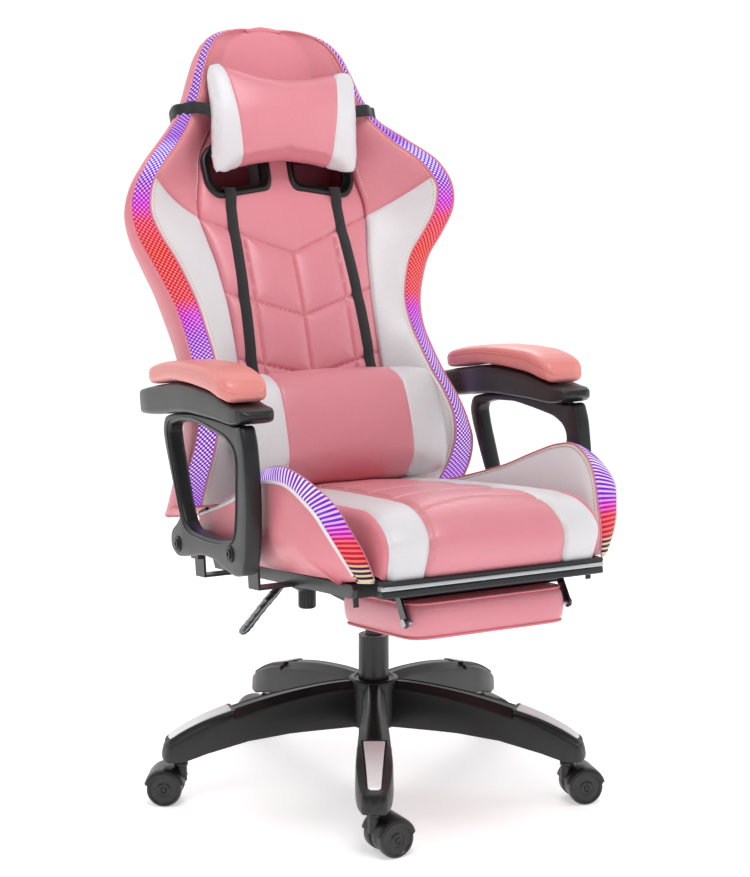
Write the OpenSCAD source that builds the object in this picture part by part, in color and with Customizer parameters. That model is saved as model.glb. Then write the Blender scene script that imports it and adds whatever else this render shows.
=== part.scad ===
// Gaming chair: five-star base on casters, gas lift, rocking mechanism, bucket seat,
// reclining winged back with light strips, loop armrests and a pull-out footrest.
// Millimetres, +Z up. The origin is on the floor under the swivel axis and the chair faces -Y.

/* [Base] */
// Radius of the circle that the caster stems stand on
stem_circle = 327; // [300:1:345]
// Turn of the front arm of the star base away from straight ahead
base_yaw = -26.4; // [-36:0.2:36]
// Radius of the caster wheels
wheel_r = 28; // [25:0.5:29]
// Distance from the caster stem to its axle
trail = 24; // [18:1:28]

/* [Gas lift] */
// Outer radius of the column tube
column_r = 25; // [24:0.5:30]
// Height of the top of the column tube
column_top = 250; // [230:1:254]
// Radius of the pressure tube
tube_r = 14; // [14:0.5:15]
// Radius of the piston rod
rod_r = 5; // [4:0.5:6]

/* [Seat] */
// Height of the seat frame's underside at the swivel axis
seat_z = 367; // [367:1:372]
// Backward slope of the seat
seat_tilt = 7; // [6:0.5:8]
// Half width of the seat frame
frame_half = 200; // [196:1:202]
// Half width of the flat part of the seat cushion
cushion_half = 180; // [160:1:180]

/* [Arms] */
// Inner face of each armrest loop, from the middle of the chair
arm_x = 275; // [275:1:282]
// Width of the armrest loop
arm_w = 26; // [20:1:28]

/* [Back] */
// Lean of the back from upright
recline = 21; // [18:0.5:24]
// Hinge position behind the swivel axis
hinge_y = 207; // [205:1:210]
// Hinge height
hinge_z = 412; // [410:1:415]
// Half width of the head pillow
head_half = 145; // [120:1:150]
// Half width of the lumbar pillow
lumbar_half = 200; // [160:1:200]

/* [Footrest] */
// Half width of the footrest pad
pad_half = 134; // [100:1:134]
// Distance of each slide rod from the middle of the chair
rod_x = 115; // [110:1:118]

/* [Hidden] */
$fn = 48;
e = 0.01;
// each caster: arm number, trail direction in degrees
casters = [[0, 3], [1, -12.5], [2, 0], [3, 160], [4, 151.5]];
function arm_dir(k) = [sin(base_yaw + 72 * k), -cos(base_yaw + 72 * k)];
lift_floor = 60;

// Seat frame of reference: [x across, v back, w up], sloped by seat_tilt
module in_seat() { translate([0, 0, seat_z]) rotate([-seat_tilt, 0, 0]) children(); }
// Back frame of reference: [x across, p back, s up the back], hinge axis at p = s = 0
module in_back() { translate([0, hinge_y, hinge_z]) rotate([-recline, 0, 0]) children(); }
module both() { children(); mirror([1, 0, 0]) children(); }
// A side view drawn as [v, w] points, given width from x0 to x1
module side_plate(pts, x0, x1) {
    translate([x0, 0, 0]) rotate([90, 0, 90]) linear_extrude(x1 - x0) polygon(pts);
}
module x_rod(x0, x1, r) { translate([x0, 0, 0]) rotate([0, 90, 0]) cylinder(r = r, h = x1 - x0); }
// A closed body through rings of equal length; each ring is a list of [x, y, z]
module loft(rings, flip = false) {
    n = len(rings[0]);
    m = len(rings);
    pts = [for (r = rings) for (p = r) p];
    sides = [for (i = [0 : m - 2]) for (j = [0 : n - 1]) let (a = i * n + j, b = i * n + (j + 1) % n, c = a + n, d = b + n)
        each [[a, c, b], [b, c, d]]];
    caps = [[for (j = [0 : n - 1]) j], [for (j = [n - 1 : -1 : 0]) (m - 1) * n + j]];
    faces = concat(sides, caps);
    polyhedron(pts, flip ? [for (f = faces) [for (k = [len(f) - 1 : -1 : 0]) f[k]]] : faces, convexity = 6);
}

// ---------------------------------------------------------------- base
arm_top = [[30, 176], [60, 176], [120, 171], [180, 162], [243, 148], [300, 132], [347, 116], [356, 94]];
arm_bottom = [[354, 71], [330, 72], [290, 84], [220, 97], [150, 101], [30, 100]];
arm_plan = [[28, 19], [120, 20], [200, 25], [260, 28], [295, 29], [330, 25], [356, 17]];
module on_arm(k) { rotate([0, 0, base_yaw + 72 * k - 90]) children(); }
module arm_side(drop, in) {
    rotate([90, 0, 0]) translate([0, 0, -60]) linear_extrude(120)
        polygon(concat([for (p = arm_top) [p[0] - in, p[1] - drop]], [for (p = arm_bottom) [p[0] - in, p[1] - (drop > 0 ? 40 : 0)]]));
}
module arm_outline(in) {
    linear_extrude(200) polygon(concat([for (p = arm_plan) [p[0] - in, p[1] - in]], [for (i = [len(arm_plan) - 1 : -1 : 0]) [arm_plan[i][0] - in, in - arm_plan[i][1]]]));
}
module base_arm() {
    difference() {
        intersection() { arm_side(0, 0); arm_outline(0); }
        difference() {
            intersection() { arm_side(7, 5); arm_outline(4); }
            translate([stem_circle, 0, 60]) cylinder(r = 12, h = 80);
            cylinder(r = 50, h = 200);
            for (r = [110, 170, 230, 280]) translate([r, -40, 60]) cube([3, 80, 140]);
        }
        translate([stem_circle, 0, 60]) cylinder(r = 5.5, h = 45);
    }
}
module star_base() {
    color([0.07, 0.07, 0.075]) difference() {
        union() {
            for (k = [0 : 4]) on_arm(k) base_arm();
            translate([0, 0, 98]) cylinder(r = 42, h = 80);
        }
        translate([0, 0, 50]) cylinder(r = column_r, h = 150);
    }
}
module base_inlays() {
    color([0.85, 0.85, 0.87]) for (k = [0 : 4]) on_arm(k) intersection() {
        rotate([90, 0, 0]) translate([0, 0, -30]) linear_extrude(60)
            polygon([[243, 148], [300, 132], [347, 116], [347, 118.5], [300, 134.5], [243, 150.5]]);
        linear_extrude(200) polygon([[240, -17], [347, -9.5], [347, 9.5], [240, 17]]);
    }
}
module column_tube() {
    color([0.08, 0.08, 0.085]) rotate_extrude()
        polygon([[rod_r + 0.05, lift_floor], [column_r, lift_floor], [column_r, column_top], [column_r - 2, column_top], [column_r - 2, lift_floor + 6], [rod_r + 0.05, lift_floor + 6]]);
}
module column_bush() {
    color([0.75, 0.75, 0.72]) rotate_extrude()
        polygon([[tube_r + 0.05, column_top - 80], [column_r - 2, column_top - 80], [column_r - 2, column_top], [tube_r + 0.05, column_top]]);
}
module thrust_bearing() {
    color([0.7, 0.7, 0.7]) rotate_extrude() polygon([[6, 66], [14, 66], [14, 70], [6, 70]]);
}
module caster_stems() {
    color([0.6, 0.6, 0.62]) for (k = [0 : 4]) on_arm(k) translate([stem_circle, 0, 38]) cylinder(r = 5.5, h = 67);
}

// ---------------------------------------------------------------- casters
module at_caster(n) {
    d = arm_dir(casters[n][0]);
    translate([d[0] * stem_circle, d[1] * stem_circle, 0]) rotate([0, 0, casters[n][1]]) children();
}
module caster_hood(n) {
    color([0.06, 0.06, 0.065]) at_caster(n) {
        difference() {
            union() {
                translate([trail, 0, wheel_r]) rotate([90, 0, 0]) translate([0, 0, -9]) cylinder(r = 26, h = 18);
                translate([0, 0, 36]) cylinder(r = 10, h = 28);
                intersection() {
                    translate([trail, 0, wheel_r]) rotate([90, 0, 0]) translate([0, 0, -30]) cylinder(r = 33, h = 60);
                    translate([-20, -30, 38]) cube([90, 60, 40]);
                }
            }
            for (s = [-1, 1]) translate([trail, s * 20.5, wheel_r]) rotate([90, 0, 0]) translate([0, 0, -11]) cylinder(r = 29.8, h = 22);
            translate([0, 0, 30]) cylinder(r = 5.55, h = 60);
        }
        translate([trail, 0, wheel_r]) rotate([90, 0, 0]) translate([0, 0, -28]) cylinder(r = 4, h = 56);
    }
}
module caster_wheels(n) {
    color([0.1, 0.1, 0.105]) at_caster(n) for (s = [-1, 1]) translate([trail, s * 20, wheel_r]) rotate([90, 0, 0])
        difference() {
            translate([0, 0, -9]) cylinder(r = wheel_r, h = 18);
            translate([0, 0, -10]) cylinder(r = 4.05, h = 20);
        }
}
module caster_hood_1() { caster_hood(0); }
module caster_hood_2() { caster_hood(1); }
module caster_hood_3() { caster_hood(2); }
module caster_hood_4() { caster_hood(3); }
module caster_hood_5() { caster_hood(4); }
module caster_wheels_1() { caster_wheels(0); }
module caster_wheels_2() { caster_wheels(1); }
module caster_wheels_3() { caster_wheels(2); }
module caster_wheels_4() { caster_wheels(3); }
module caster_wheels_5() { caster_wheels(4); }

// ---------------------------------------------------------------- gas lift and rocking mechanism
module piston_rod() {
    color([0.8, 0.8, 0.82]) {
        rotate_extrude() polygon([[0, 55], [rod_r, 55], [rod_r, 57], [9, 57], [9, 59.7], [rod_r, 59.7], [rod_r, 70.3], [10, 70.3], [10, 76], [rod_r, 76],
            [rod_r, 257], [tube_r - 2.05, 257], [tube_r - 2.05, 267], [0, 267]]);
    }
}
module pressure_tube() {
    color([0.12, 0.12, 0.13]) rotate_extrude()
        polygon([[rod_r + 0.05, 140], [tube_r, 140], [tube_r, 336], [3.05, 336], [3.05, 332], [tube_r - 2, 332], [tube_r - 2, 146], [rod_r + 0.05, 146]]);
}
pin_y = -60;
pin_z = 338;
knob_x = -75;
knob_y = 100;
lever_x = -66;
lever_z = 329;
module tilt_housing() {
    color([0.1, 0.1, 0.1]) difference() {
        union() {
            difference() {
                side_plate([[-100, 314], [118, 314], [118, 325], [-50, 352], [-100, 352]], -58, 58);
                side_plate([[-97, 317], [115, 317], [115, 360], [-97, 360]], -55, 55);
            }
            translate([0, 0, 315]) cylinder(r = 20, h = 21);
            translate([-95, 82, 314]) cube([40, 36, 3]);
            for (y = [87, 108]) translate([-73, y, 316]) cube([15, 5, 20]);
        }
        translate([0, 0, 300]) cylinder(r = tube_r, h = 60);
        translate([0, pin_y, pin_z]) x_rod(-80, 80, 6);
        translate([knob_x, knob_y, 300]) cylinder(r = 5.05, h = 30);
        translate([-60, 84, 322]) cube([6, 24, 30]);
        translate([lever_x, 130, lever_z]) rotate([90, 0, 0]) cylinder(r = 3, h = 60);
    }
}
module tilt_pin() { color([0.7, 0.7, 0.72]) translate([0, pin_y, pin_z]) x_rod(-70, 70, 6); }
module torsion_spring() {
    color([0.35, 0.35, 0.37]) translate([0, pin_y, pin_z]) for (x = [-44 : 6 : 44]) translate([x, 0, 0])
        difference() { x_rod(0, 5, 12); x_rod(-1, 6, 7.5); }
}
module tension_knob() {
    color([0.05, 0.05, 0.05]) translate([knob_x, knob_y, 0]) {
        translate([0, 0, 281]) cylinder(r = 15, h = 32.7);
        translate([0, 0, 310]) cylinder(r = 5, h = 11);
    }
}
module lever_pin() { color([0.7, 0.7, 0.7]) translate([lever_x, 114, lever_z]) rotate([90, 0, 0]) cylinder(r = 3, h = 28); }
module height_lever() {
    color([0.3, 0.3, 0.32]) {
        difference() {
            union() {
                translate([lever_x, 107, lever_z]) rotate([90, 0, 0]) cylinder(r = 5.5, h = 14);
                translate([lever_x - 30, 96, 325.5]) cube([36, 8, 7]);
            }
            translate([lever_x, 120, lever_z]) rotate([90, 0, 0]) cylinder(r = 3.05, h = 40);
        }
        // outer arm and paddle
        translate([0, 104, 0]) rotate([90, 0, 0]) linear_extrude(8) polygon([[-96, 325.5], [-96, 332.5], [-116, 332.5], [-152, 302], [-190, 262], [-198, 252], [-191, 249], [-182, 256], [-146, 294], [-118, 325.5]]);
        // inner finger, down to the valve
        hull() {
            translate([lever_x + 5, 96, 326]) cube([5, 8, 6]);
            translate([-30, 66, 334]) cube([8, 6, 5]);
        }
        hull() {
            translate([-30, 66, 334]) cube([8, 6, 5]);
            translate([-4, -4, 342.6]) cube([8, 8, 4]);
        }
        translate([-2.5, -2.5, 341.3]) cube([5, 5, 3]);
    }
}
module valve_pin() { color([0.75, 0.1, 0.1]) translate([0, 0, 333]) cylinder(r = 3, h = 8); }

// ---------------------------------------------------------------- seat
pin_v = pin_y * cos(seat_tilt) - (pin_z - seat_z) * sin(seat_tilt);
pin_w = pin_y * sin(seat_tilt) + (pin_z - seat_z) * cos(seat_tilt);
module mount_plate() {
    color([0.09, 0.09, 0.09]) in_seat() difference() {
        union() {
            translate([-95, -120, -4]) cube([190, 200, 4]);
            for (s = [-1, 1]) translate([s * 62.2 - 2, pin_v - 22, pin_w - 12]) cube([4, 44, -pin_w + 10]);
        }
        translate([0, pin_v, pin_w]) x_rod(-80, 80, 6.05);
        for (x = [-80, 80]) for (v = [-100, 60]) translate([x, v, -10]) cylinder(r = 4.2, h = 20);
        translate([0, 0, -6]) cylinder(r = 18, h = 10);
        translate([-72, 18, -6]) cube([66, 68, 12]);   // clears the lift lever's finger when the seat rocks
    }
}
module seat_frame() {
    color([0.12, 0.12, 0.13]) in_seat() difference() {
        union() {
            for (s = [-1, 1]) translate([s < 0 ? -frame_half : frame_half - 20, -345, 0]) cube([20, 535, 20]);
            translate([-frame_half, -345, 0]) cube([2 * frame_half, 20, 20]);
            translate([-frame_half, 170, 0]) cube([2 * frame_half, 20, 20]);
            for (v = [-115, 45]) translate([-frame_half + 10, v, 0]) cube([2 * frame_half - 20, 30, 12]);
            for (s = [-1, 1]) translate([s * (frame_half - 4) - 4, -338, -14]) cube([8, 3, 20]);
        }
        for (x = [-80, 80]) for (v = [-100, 60]) translate([x, v, -10]) cylinder(r = 4.2, h = 30);
    }
}
module seat_straps() {
    color([0.05, 0.05, 0.05]) in_seat() for (i = [0 : 6]) translate([-frame_half, -300 + i * 65, 20]) cube([2 * frame_half, 45, 2.5]);
}
module seat_cushion() {
    color([0.86, 0.55, 0.58]) in_seat() side_plate([[125, 22.5], [125, 122], [60, 128], [-20, 129], [-200, 127], [-334, 123], [-372, 112], [-400, 94], [-412, 78], [-406, 50], [-393, 22.5]], -cushion_half, cushion_half);
}
// bolster stations: core v, inner edge [x v w], outer edge [x v w], bulge [x w], outer bottom x
bolster = [
    [125, [205, 125, 118], [250, 125, 98], [256, 60], 215],
    [50, [220, 50, 130], [256, 50, 110], [260, 62], 215],
    [-40, [235, -40, 148], [259, -40, 128], [261, 64], 215],
    [-120, [245, -120, 170], [262, -122, 150], [259, 66], 215],
    [-185, [250, -185, 184], [264, -200, 165], [261, 80], 212],
    [-225, [248, -240, 184], [264, -265, 162], [270, 85], 210],
    [-260, [232, -303, 157], [259, -312, 142], [268, 80], 208],
    [-285, [218, -335, 130], [252, -338, 122], [262, 75], 206],
    [-300, [208, -355, 98], [243, -352, 98], [250, 62], 205],
    [-310, [198, -375, 65], [230, -364, 68], [236, 48], 204],
    [-320, [188, -385, 27], [208, -370, 28], [209, 24], 203]];
function bolster_ring(b) = [[181, b[0], 22.5], [b[4], b[0], 22.5], [b[3][0], (b[0] + b[2][1]) / 2, b[3][1]], b[2], b[1]];
module seat_bolsters() { color([0.93, 0.92, 0.93]) in_seat() both() loft([for (b = bolster) bolster_ring(b)]); }
function strip_ring(b) = let (a = b[1], c = b[2]) [c, a, a + [0.5, -2.5, 2.5], c + [3, -2, 1]];
module seat_light_strips() { color([0.65, 0.35, 0.95]) in_seat() both() loft([for (i = [3 : 10]) strip_ring(bolster[i])], true); }

module arm_brackets() {
    color([0.1, 0.1, 0.1]) in_seat() both() for (v = [-130, 97]) difference() {
        union() {
            translate([frame_half, v - 20, 0]) cube([67, 40, 4]);
            translate([263, v - 20, 0]) cube([4, 40, 76]);
            translate([267, v - 16, 30]) cube([arm_x - 267, 32, 46]);
        }
        translate([0, v, 57]) x_rod(250, 290, 4);
    }
}
loop_outer = [[-195, 250], [-205, 222], [-208, 170], [-206, 125], [-198, 83], [-190, 53], [-178, 30], [-141, 22], [-95, 32], [-60, 42], [0, 46], [72, 38], [110, 35],
    [136, 50], [132, 77], [100, 92], [84, 104], [98, 128], [119, 176], [135, 216], [141, 242], [130, 263], [92, 268], [9, 268], [-97, 258], [-176, 248]];
loop_inner = [[105, 250], [60, 256], [-10, 253], [-73, 241], [-133, 228], [-160, 214], [-170, 198], [-164, 169], [-157, 125], [-148, 94], [-136, 80], [-90, 75], [-32, 76], [40, 83], [60, 92], [76, 119], [91, 167], [107, 215], [112, 240]];
module arm_loop(x0, x1) {
    color([0.08, 0.08, 0.085]) in_seat() difference() {
        side_plate(loop_outer, x0, x1);
        side_plate(loop_inner, x0 - 1, x1 + 1);
        for (v = [-130, 97]) translate([0, v, 57]) { x_rod(x0 - 1, x1 + 1, 4); x_rod(x0 < 0 ? x0 - 1 : x1 - 5, x0 < 0 ? x0 + 5 : x1 + 1, 9); }
    }
}
module arm_loop_right() { arm_loop(arm_x, arm_x + arm_w); }
module arm_loop_left() { arm_loop(-arm_x - arm_w, -arm_x); }
module arm_beams() {
    color([0.07, 0.07, 0.075]) in_seat() both() intersection() {
        side_plate([[-190, 250.5], [-176, 248.5], [-97, 258.5], [9, 268.5], [92, 268.5], [130, 266], [180, 266], [244, 268], [252, 288], [244, 308], [140, 315], [50, 318], [-25, 311], [-108, 298], [-160, 282], [-205, 272], [-212, 262]], 245, 310);
        linear_extrude(400) polygon([[252, -212], [300, -212], [308, -190], [310, 200], [302, 245], [285, 253], [270, 253], [257, 245], [252, 200], [251, 110], [245, 60], [245, -195]]);
    }
}
module arm_pads() {
    color([0.93, 0.62, 0.6]) in_seat() both() intersection() {
        side_plate([[165, 314], [175, 330], [160, 346], [100, 352], [20, 352], [-60, 346], [-120, 338], [-165, 322], [-180, 305], [-180, 280], [-160, 283], [-108, 299], [-25, 312], [50, 319], [140, 316]], 240, 318);
        linear_extrude(400) polygon([[248, -180], [306, -180], [316, -165], [318, 0], [316, 150], [304, 173], [254, 173], [242, 150], [240, 0], [242, -168]]);
    }
}
module arm_bolts() {
    color([0.2, 0.2, 0.2]) in_seat() both() for (v = [-130, 97]) translate([0, v, 57]) {
        x_rod(263, arm_x + arm_w - 5, 4);
        x_rod(arm_x + arm_w - 5, arm_x + arm_w + 1, 7.5);
    }
}

// ---------------------------------------------------------------- back hinge
hv = hinge_y * cos(seat_tilt) - (hinge_z - seat_z) * sin(seat_tilt);
hw = hinge_y * sin(seat_tilt) + (hinge_z - seat_z) * cos(seat_tilt);
module hinge_plates() {
    color([0.1, 0.1, 0.1]) in_seat() both() difference() {
        union() {
            side_plate([[140, 0], [190, 0], [hv + 22, hw - 14], [hv + 22, hw + 10], [hv + 10, hw + 22], [hv - 14, hw + 20], [hv - 26, hw]], frame_half, frame_half + 5);
        }
        translate([0, hv, hw]) x_rod(190, 215, 6);
    }
}
module recline_pins() {
    color([0.7, 0.7, 0.72]) translate([0, hinge_y, hinge_z]) { x_rod(186, 213, 6); x_rod(-222, -186, 6); }
}
module recline_springs() {
    color([0.3, 0.3, 0.32]) translate([0, hinge_y, hinge_z]) both() for (r = [8, 12, 16]) translate([190, 0, 0]) difference() { x_rod(0, 8, r + 2); x_rod(-1, 9, r); }
}
module recline_lever() {
    color([0.08, 0.08, 0.08]) difference() {
        union() {
            translate([0, hinge_y, hinge_z]) x_rod(-220, -213.5, 13);
            side_plate([[hinge_y - 8, hinge_z - 11], [hinge_y - 8, hinge_z + 6], [158, 400], [147, 392], [150, 384], [160, 386]], -220, -213.5);
            side_plate([[146, 391], [150, 383], [162, 387], [159, 399]], -245, -213.5);
        }
        translate([0, hinge_y, hinge_z]) x_rod(-230, -205, 6.05);
    }
}

// ---------------------------------------------------------------- back
// stations up the back: s, light strip inner [x p], outer [x p], depth of the wing, rear p, panel seam x, front p
back = [
    [32, 225, -20, 270, -30, 80, 60, 150, -32],
    [65, 229, -75, 269, -79, 85, 66, 150, -50],
    [95, 227, -114, 264, -107, 92, 68, 145, -55],
    [130, 221, -136, 253, -121, 98, 66, 140, -58],
    [175, 211, -137, 242, -118, 92, 62, 138, -58],
    [220, 202, -122, 233, -103, 85, 56, 136, -60],
    [270, 195, -106, 228, -85, 80, 50, 136, -62],
    [320, 194, -86, 227, -68, 80, 46, 136, -64],
    [370, 198, -74, 234, -60, 80, 43, 138, -64],
    [410, 209, -72, 247, -59, 70, 41, 142, -62],
    [455, 228, -76, 268, -64, 60, 38, 147, -58],
    [490, 253, -91, 291, -84, 50, 35, 154, -54],
    [525, 271, -111, 305, -111, 45, 32, 160, -50],
    [560, 270, -132, 300, -131, 40, 27, 160, -48],
    [600, 245, -137, 275, -140, 42, 20, 152, -47],
    [650, 202, -118, 232, -118, 46, 8, 142, -48],
    [700, 168, -104, 190, -92, 50, -4, 115, -55],
    [740, 150, -105, 166, -93, 55, -12, 100, -62],
    [785, 135, -106, 147, -98, 55, -20, 90, -70],
    [825, 114, -108, 126, -99, 50, -28, 75, -76],
    [855, 85, -100, 96, -92, 45, -36, 55, -80],
    [873, 45, -90, 54, -84, 34, -46, 28, -82]];
function deep(b) = min(40, (b[6] - b[8]) * 0.45);
function shell_half(b) = [[b[3] + 5, b[4] + 0.4 * b[5]], [b[3] - 10, b[4] + b[5]], [0.6 * b[3], b[6]]];
// the shell lies behind the panels: front edge from strip to strip, then round the rear
function shell_ring(b) = let (h = shell_half(b), t = b[8] + deep(b)) [for (q = [[b[3], b[4]], h[0], h[1], h[2], [-h[2][0], h[2][1]], [-h[1][0], h[1][1]], [-h[0][0], h[0][1]], [-b[3], b[4]], [-b[1], b[2]], [-b[7], t], [b[7], t], [b[1], b[2]]]) [q[0], q[1], b[0]]];
function cushion_ring(b) = let (t = b[8] + deep(b)) [for (q = [[b[7], b[8]], [b[7], t], [-b[7], t], [-b[7], b[8]]]) [q[0], q[1], b[0]]];
// the right ring starts at the panel seam and the left one at the strip, so that both share the shell's edges
function wing_ring(b, side) = let (t = b[8] + deep(b), strip = [b[1], b[2]], back_seam = [b[7], t], seam = [b[7], b[8]], crest = [b[7] + 0.5 * (b[1] - b[7]), b[8] + 0.42 * (b[2] - b[8])])
    [for (q = side > 0 ? [back_seam, strip, crest, seam] : [strip, back_seam, seam, crest]) [side * q[0], q[1], b[0]]];
function light_ring(b, side) = let (inner = [b[1], b[2]], outer = [b[3], b[4]], lit_in = [b[1] - 0.5, b[2] - 3.5], lit_out = [b[3] + 1.5, b[4] - 3])
    [for (q = side > 0 ? [inner, outer, lit_out, lit_in] : [outer, inner, lit_in, lit_out]) [side * q[0], q[1], b[0]]];
// belt slot outline, as [x, s]
slot_outer = [[28, 584], [128, 568], [146, 590], [148, 640], [128, 662], [20, 662], [20, 600]];
slot_inner = [[38, 592], [122, 579], [134, 596], [136, 636], [122, 652], [30, 652], [30, 604]];
module through_back(pts, p0, p1) { translate([0, p1, 0]) rotate([90, 0, 0]) linear_extrude(p1 - p0) polygon(pts); }
module back_shell() {
    color([0.85, 0.52, 0.55]) in_back() difference() {
        loft([for (b = back) shell_ring(b)]);
        both() through_back(slot_outer, -90, 90);
    }
}
module back_cushion() {
    color([0.87, 0.56, 0.59]) in_back() difference() {
        loft([for (b = back) cushion_ring(b)]);
        both() through_back(slot_outer, -90, 90);
    }
}
module back_bolsters() {
    color([0.93, 0.92, 0.93]) in_back() difference() {
        for (side = [-1, 1]) loft([for (b = back) wing_ring(b, side)], true);
        both() through_back(slot_outer, -90, 90);
    }
}
module belt_bezels() {
    color([0.05, 0.05, 0.05]) in_back() both() difference() {
        through_back(slot_outer, -54, 30);
        through_back(slot_inner, -60, 40);
    }
}
module back_light_strips() { color([0.65, 0.35, 0.95]) in_back() for (side = [-1, 1]) loft([for (b = back) light_ring(b, side)], true); }
module back_brackets() {
    color([0.1, 0.1, 0.1]) in_back() both() difference() {
        union() {
            x_rod(206.4, 212.4, 24);
            translate([206.4, -8, 0]) cube([6, 36, 160]);
        }
        x_rod(200, 220, 6.05);
    }
}
module bar(a, b, r) {
    d = b - a;
    l = norm(d);
    translate(a) rotate([0, acos(d[2] / l), atan2(d[1], d[0])]) cylinder(r = r, h = l, $fn = 8);
}
module back_frame() {
    color([0.15, 0.15, 0.16]) in_back() {
        both() {
            bar([194, 5, 60], [188, 2, 545], 9);
            bar([188, 2, 540], [160, -50, 672], 8);
            bar([160, -50, 668], [76, -40, 800], 7);
        }
        for (q = [[194, 5, 64], [188, 4, 300], [188, 2, 540], [76, -40, 798]]) bar([-q[0], q[1], q[2]], q, 7);
    }
}
// pillow laid across the back: ring of [p, s] around the middle at each x
function pillow_ring(x, p0, p1, s0, s1, bow) = [for (i = [0 : 15]) let (a = i * 22.5, c = cos(a), k = sin(a))
    [x, (p0 + p1) / 2 + (p1 - p0) / 2 * sign(c) * pow(abs(c), bow), (s0 + s1) / 2 + (s1 - s0) / 2 * sign(k) * pow(abs(k), bow)]];
lumbar = [[0, -208, -66, 34, 232], [60, -207, -66, 34, 232], [120, -204, -68, 35, 230], [160, -198, -104, 38, 226], [185, -190, -124, 46, 216], [lumbar_half, -176, -140, 70, 190]];
module lumbar_pillow() {
    color([0.85, 0.5, 0.53]) in_back() loft(concat(
        [for (i = [5 : -1 : 1]) let (r = lumbar[i]) pillow_ring(-r[0], r[1], r[2], r[3], r[4], 0.85)],
        [for (i = [0 : 5]) let (r = lumbar[i]) pillow_ring(r[0], r[1], r[2], r[3], r[4], 0.85)]));
}
head = [[0, -142, -62, 628, 772], [60, -140, -64, 622, 780], [105, -134, -78, 612, 788], [130, -130, -100, 608, 774], [head_half, -122, -108, 624, 742]];
module head_pillow() {
    color([0.85, 0.5, 0.53]) in_back() loft(concat(
        [for (i = [4 : -1 : 1]) let (r = head[i]) pillow_ring(-r[0], r[1], r[2], r[3], r[4], 0.8)],
        [for (i = [0 : 4]) let (r = head[i]) pillow_ring(r[0], r[1], r[2], r[3], r[4], 0.8)]));
}
// belt path as [p, s]: down the front, under the back, up the rear and through the slot
belt_front = [[-52, 600], [-56, 578], [-57, 545], [-59, 490], [-62, 455], [-67, 410], [-68, 370], [-68, 320], [-66, 270], [-64, 220], [-62, 175], [-62, 130], [-59, 95], [-54, 65], [-38, 29]];
belt_rear = [[66, 29], [71, 65], [73, 95], [71, 130], [67, 175], [61, 220], [55, 270], [51, 320], [48, 370], [46, 410], [43, 455], [40, 490], [37, 525], [34, 560], [32, 600]];
function offset_path(pts, d) = [for (i = [0 : len(pts) - 1]) let (a = pts[max(i - 1, 0)], b = pts[min(i + 1, len(pts) - 1)], t = (b - a) / norm(b - a)) pts[i] + d * [t[1], -t[0]]];
module strap(pts, x0, x1, t) { o = offset_path(pts, t); side_plate(concat(pts, [for (i = [len(o) - 1 : -1 : 0]) o[i]]), x0, x1); }
module lumbar_belts() {
    color([0.03, 0.03, 0.03]) in_back() both() strap(concat(belt_front, belt_rear, [[-52, 603]]), 92, 112, 1.6);
}
// strap route round the head end at one station, g outside the shell, as [x, p]
function strap_line(b, g) = let (h = shell_half(b), r = [[b[1] - 30, b[2] - g + 14], [b[1], b[2] - 4 - g], [b[3] + 1 + g, b[4] - 3 - g], [h[0][0] + g, h[0][1]], [h[1][0] + g, h[1][1] + g], [h[2][0], h[2][1] + g]])
    concat([for (q = r) [-q[0], q[1]]], [for (i = [len(r) - 1 : -1 : 0]) r[i]]);
function mid_station(s) = let (k = [for (i = [0 : len(back) - 2]) if (back[i][0] <= s && back[i + 1][0] > s) i][0], t = (s - back[k][0]) / (back[k + 1][0] - back[k][0])) back[k] * (1 - t) + back[k + 1] * t;
module head_strap() {
    b = mid_station(706);
    color([0.03, 0.03, 0.03]) in_back() translate([0, 0, 699]) linear_extrude(22) polygon(concat(strap_line(b, 2.8), [for (i = [11 : -1 : 0]) strap_line(b, 1)[i]]));
}

// ---------------------------------------------------------------- footrest
flip_v = -370;
flip_w = -39.5;
module footrest_guides() {
    color([0.1, 0.1, 0.1]) in_seat() both() difference() {
        translate([rod_x - 9, -125, -15]) cube([18, 95, 15]);
        translate([rod_x, -130, -5.5]) rotate([-90, 0, 0]) cylinder(r = 4.55, h = 110);
        translate([rod_x - 12, -110, -20]) cube([24, 65, 8]);
    }
}
module footrest_rails() {
    color([0.75, 0.75, 0.78]) in_seat() {
        difference() {
            union() {
                for (s = [-1, 1]) translate([s * rod_x, -350, -5.5]) rotate([-90, 0, 0]) cylinder(r = 4.5, h = 435);
                translate([0, -350, -5.5]) x_rod(-pad_half - 3.5, pad_half + 3.5, 4.5);
                for (s = [-1, 1]) side_plate([[-345, -9], [-345, -1], [-358, -1], [-378, -36], [-378, -44], [-370, -47.5], [-361, -43]], s < 0 ? -pad_half - 3.5 : pad_half + 0.5, s < 0 ? -pad_half - 0.5 : pad_half + 3.5);
            }
            translate([0, flip_v, flip_w]) x_rod(-200, 200, 4.05);
        }
    }
}
module footrest_pins() {
    color([0.6, 0.6, 0.62]) in_seat() both() translate([0, flip_v, flip_w]) { x_rod(pad_half - 18, pad_half + 4.5, 4); x_rod(pad_half + 3.8, pad_half + 6.5, 6); }
}
module footrest_pad() {
    color([0.9, 0.58, 0.6]) in_seat() difference() {
        side_plate([[-387, -60], [-387, -16], [-382, -11], [-140, -11], [-135, -16], [-135, -60], [-142, -68], [-380, -68]], -pad_half, pad_half);
        both() translate([0, flip_v, flip_w]) x_rod(pad_half - 18.1, pad_half + 1, 4.05);
    }
}

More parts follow.
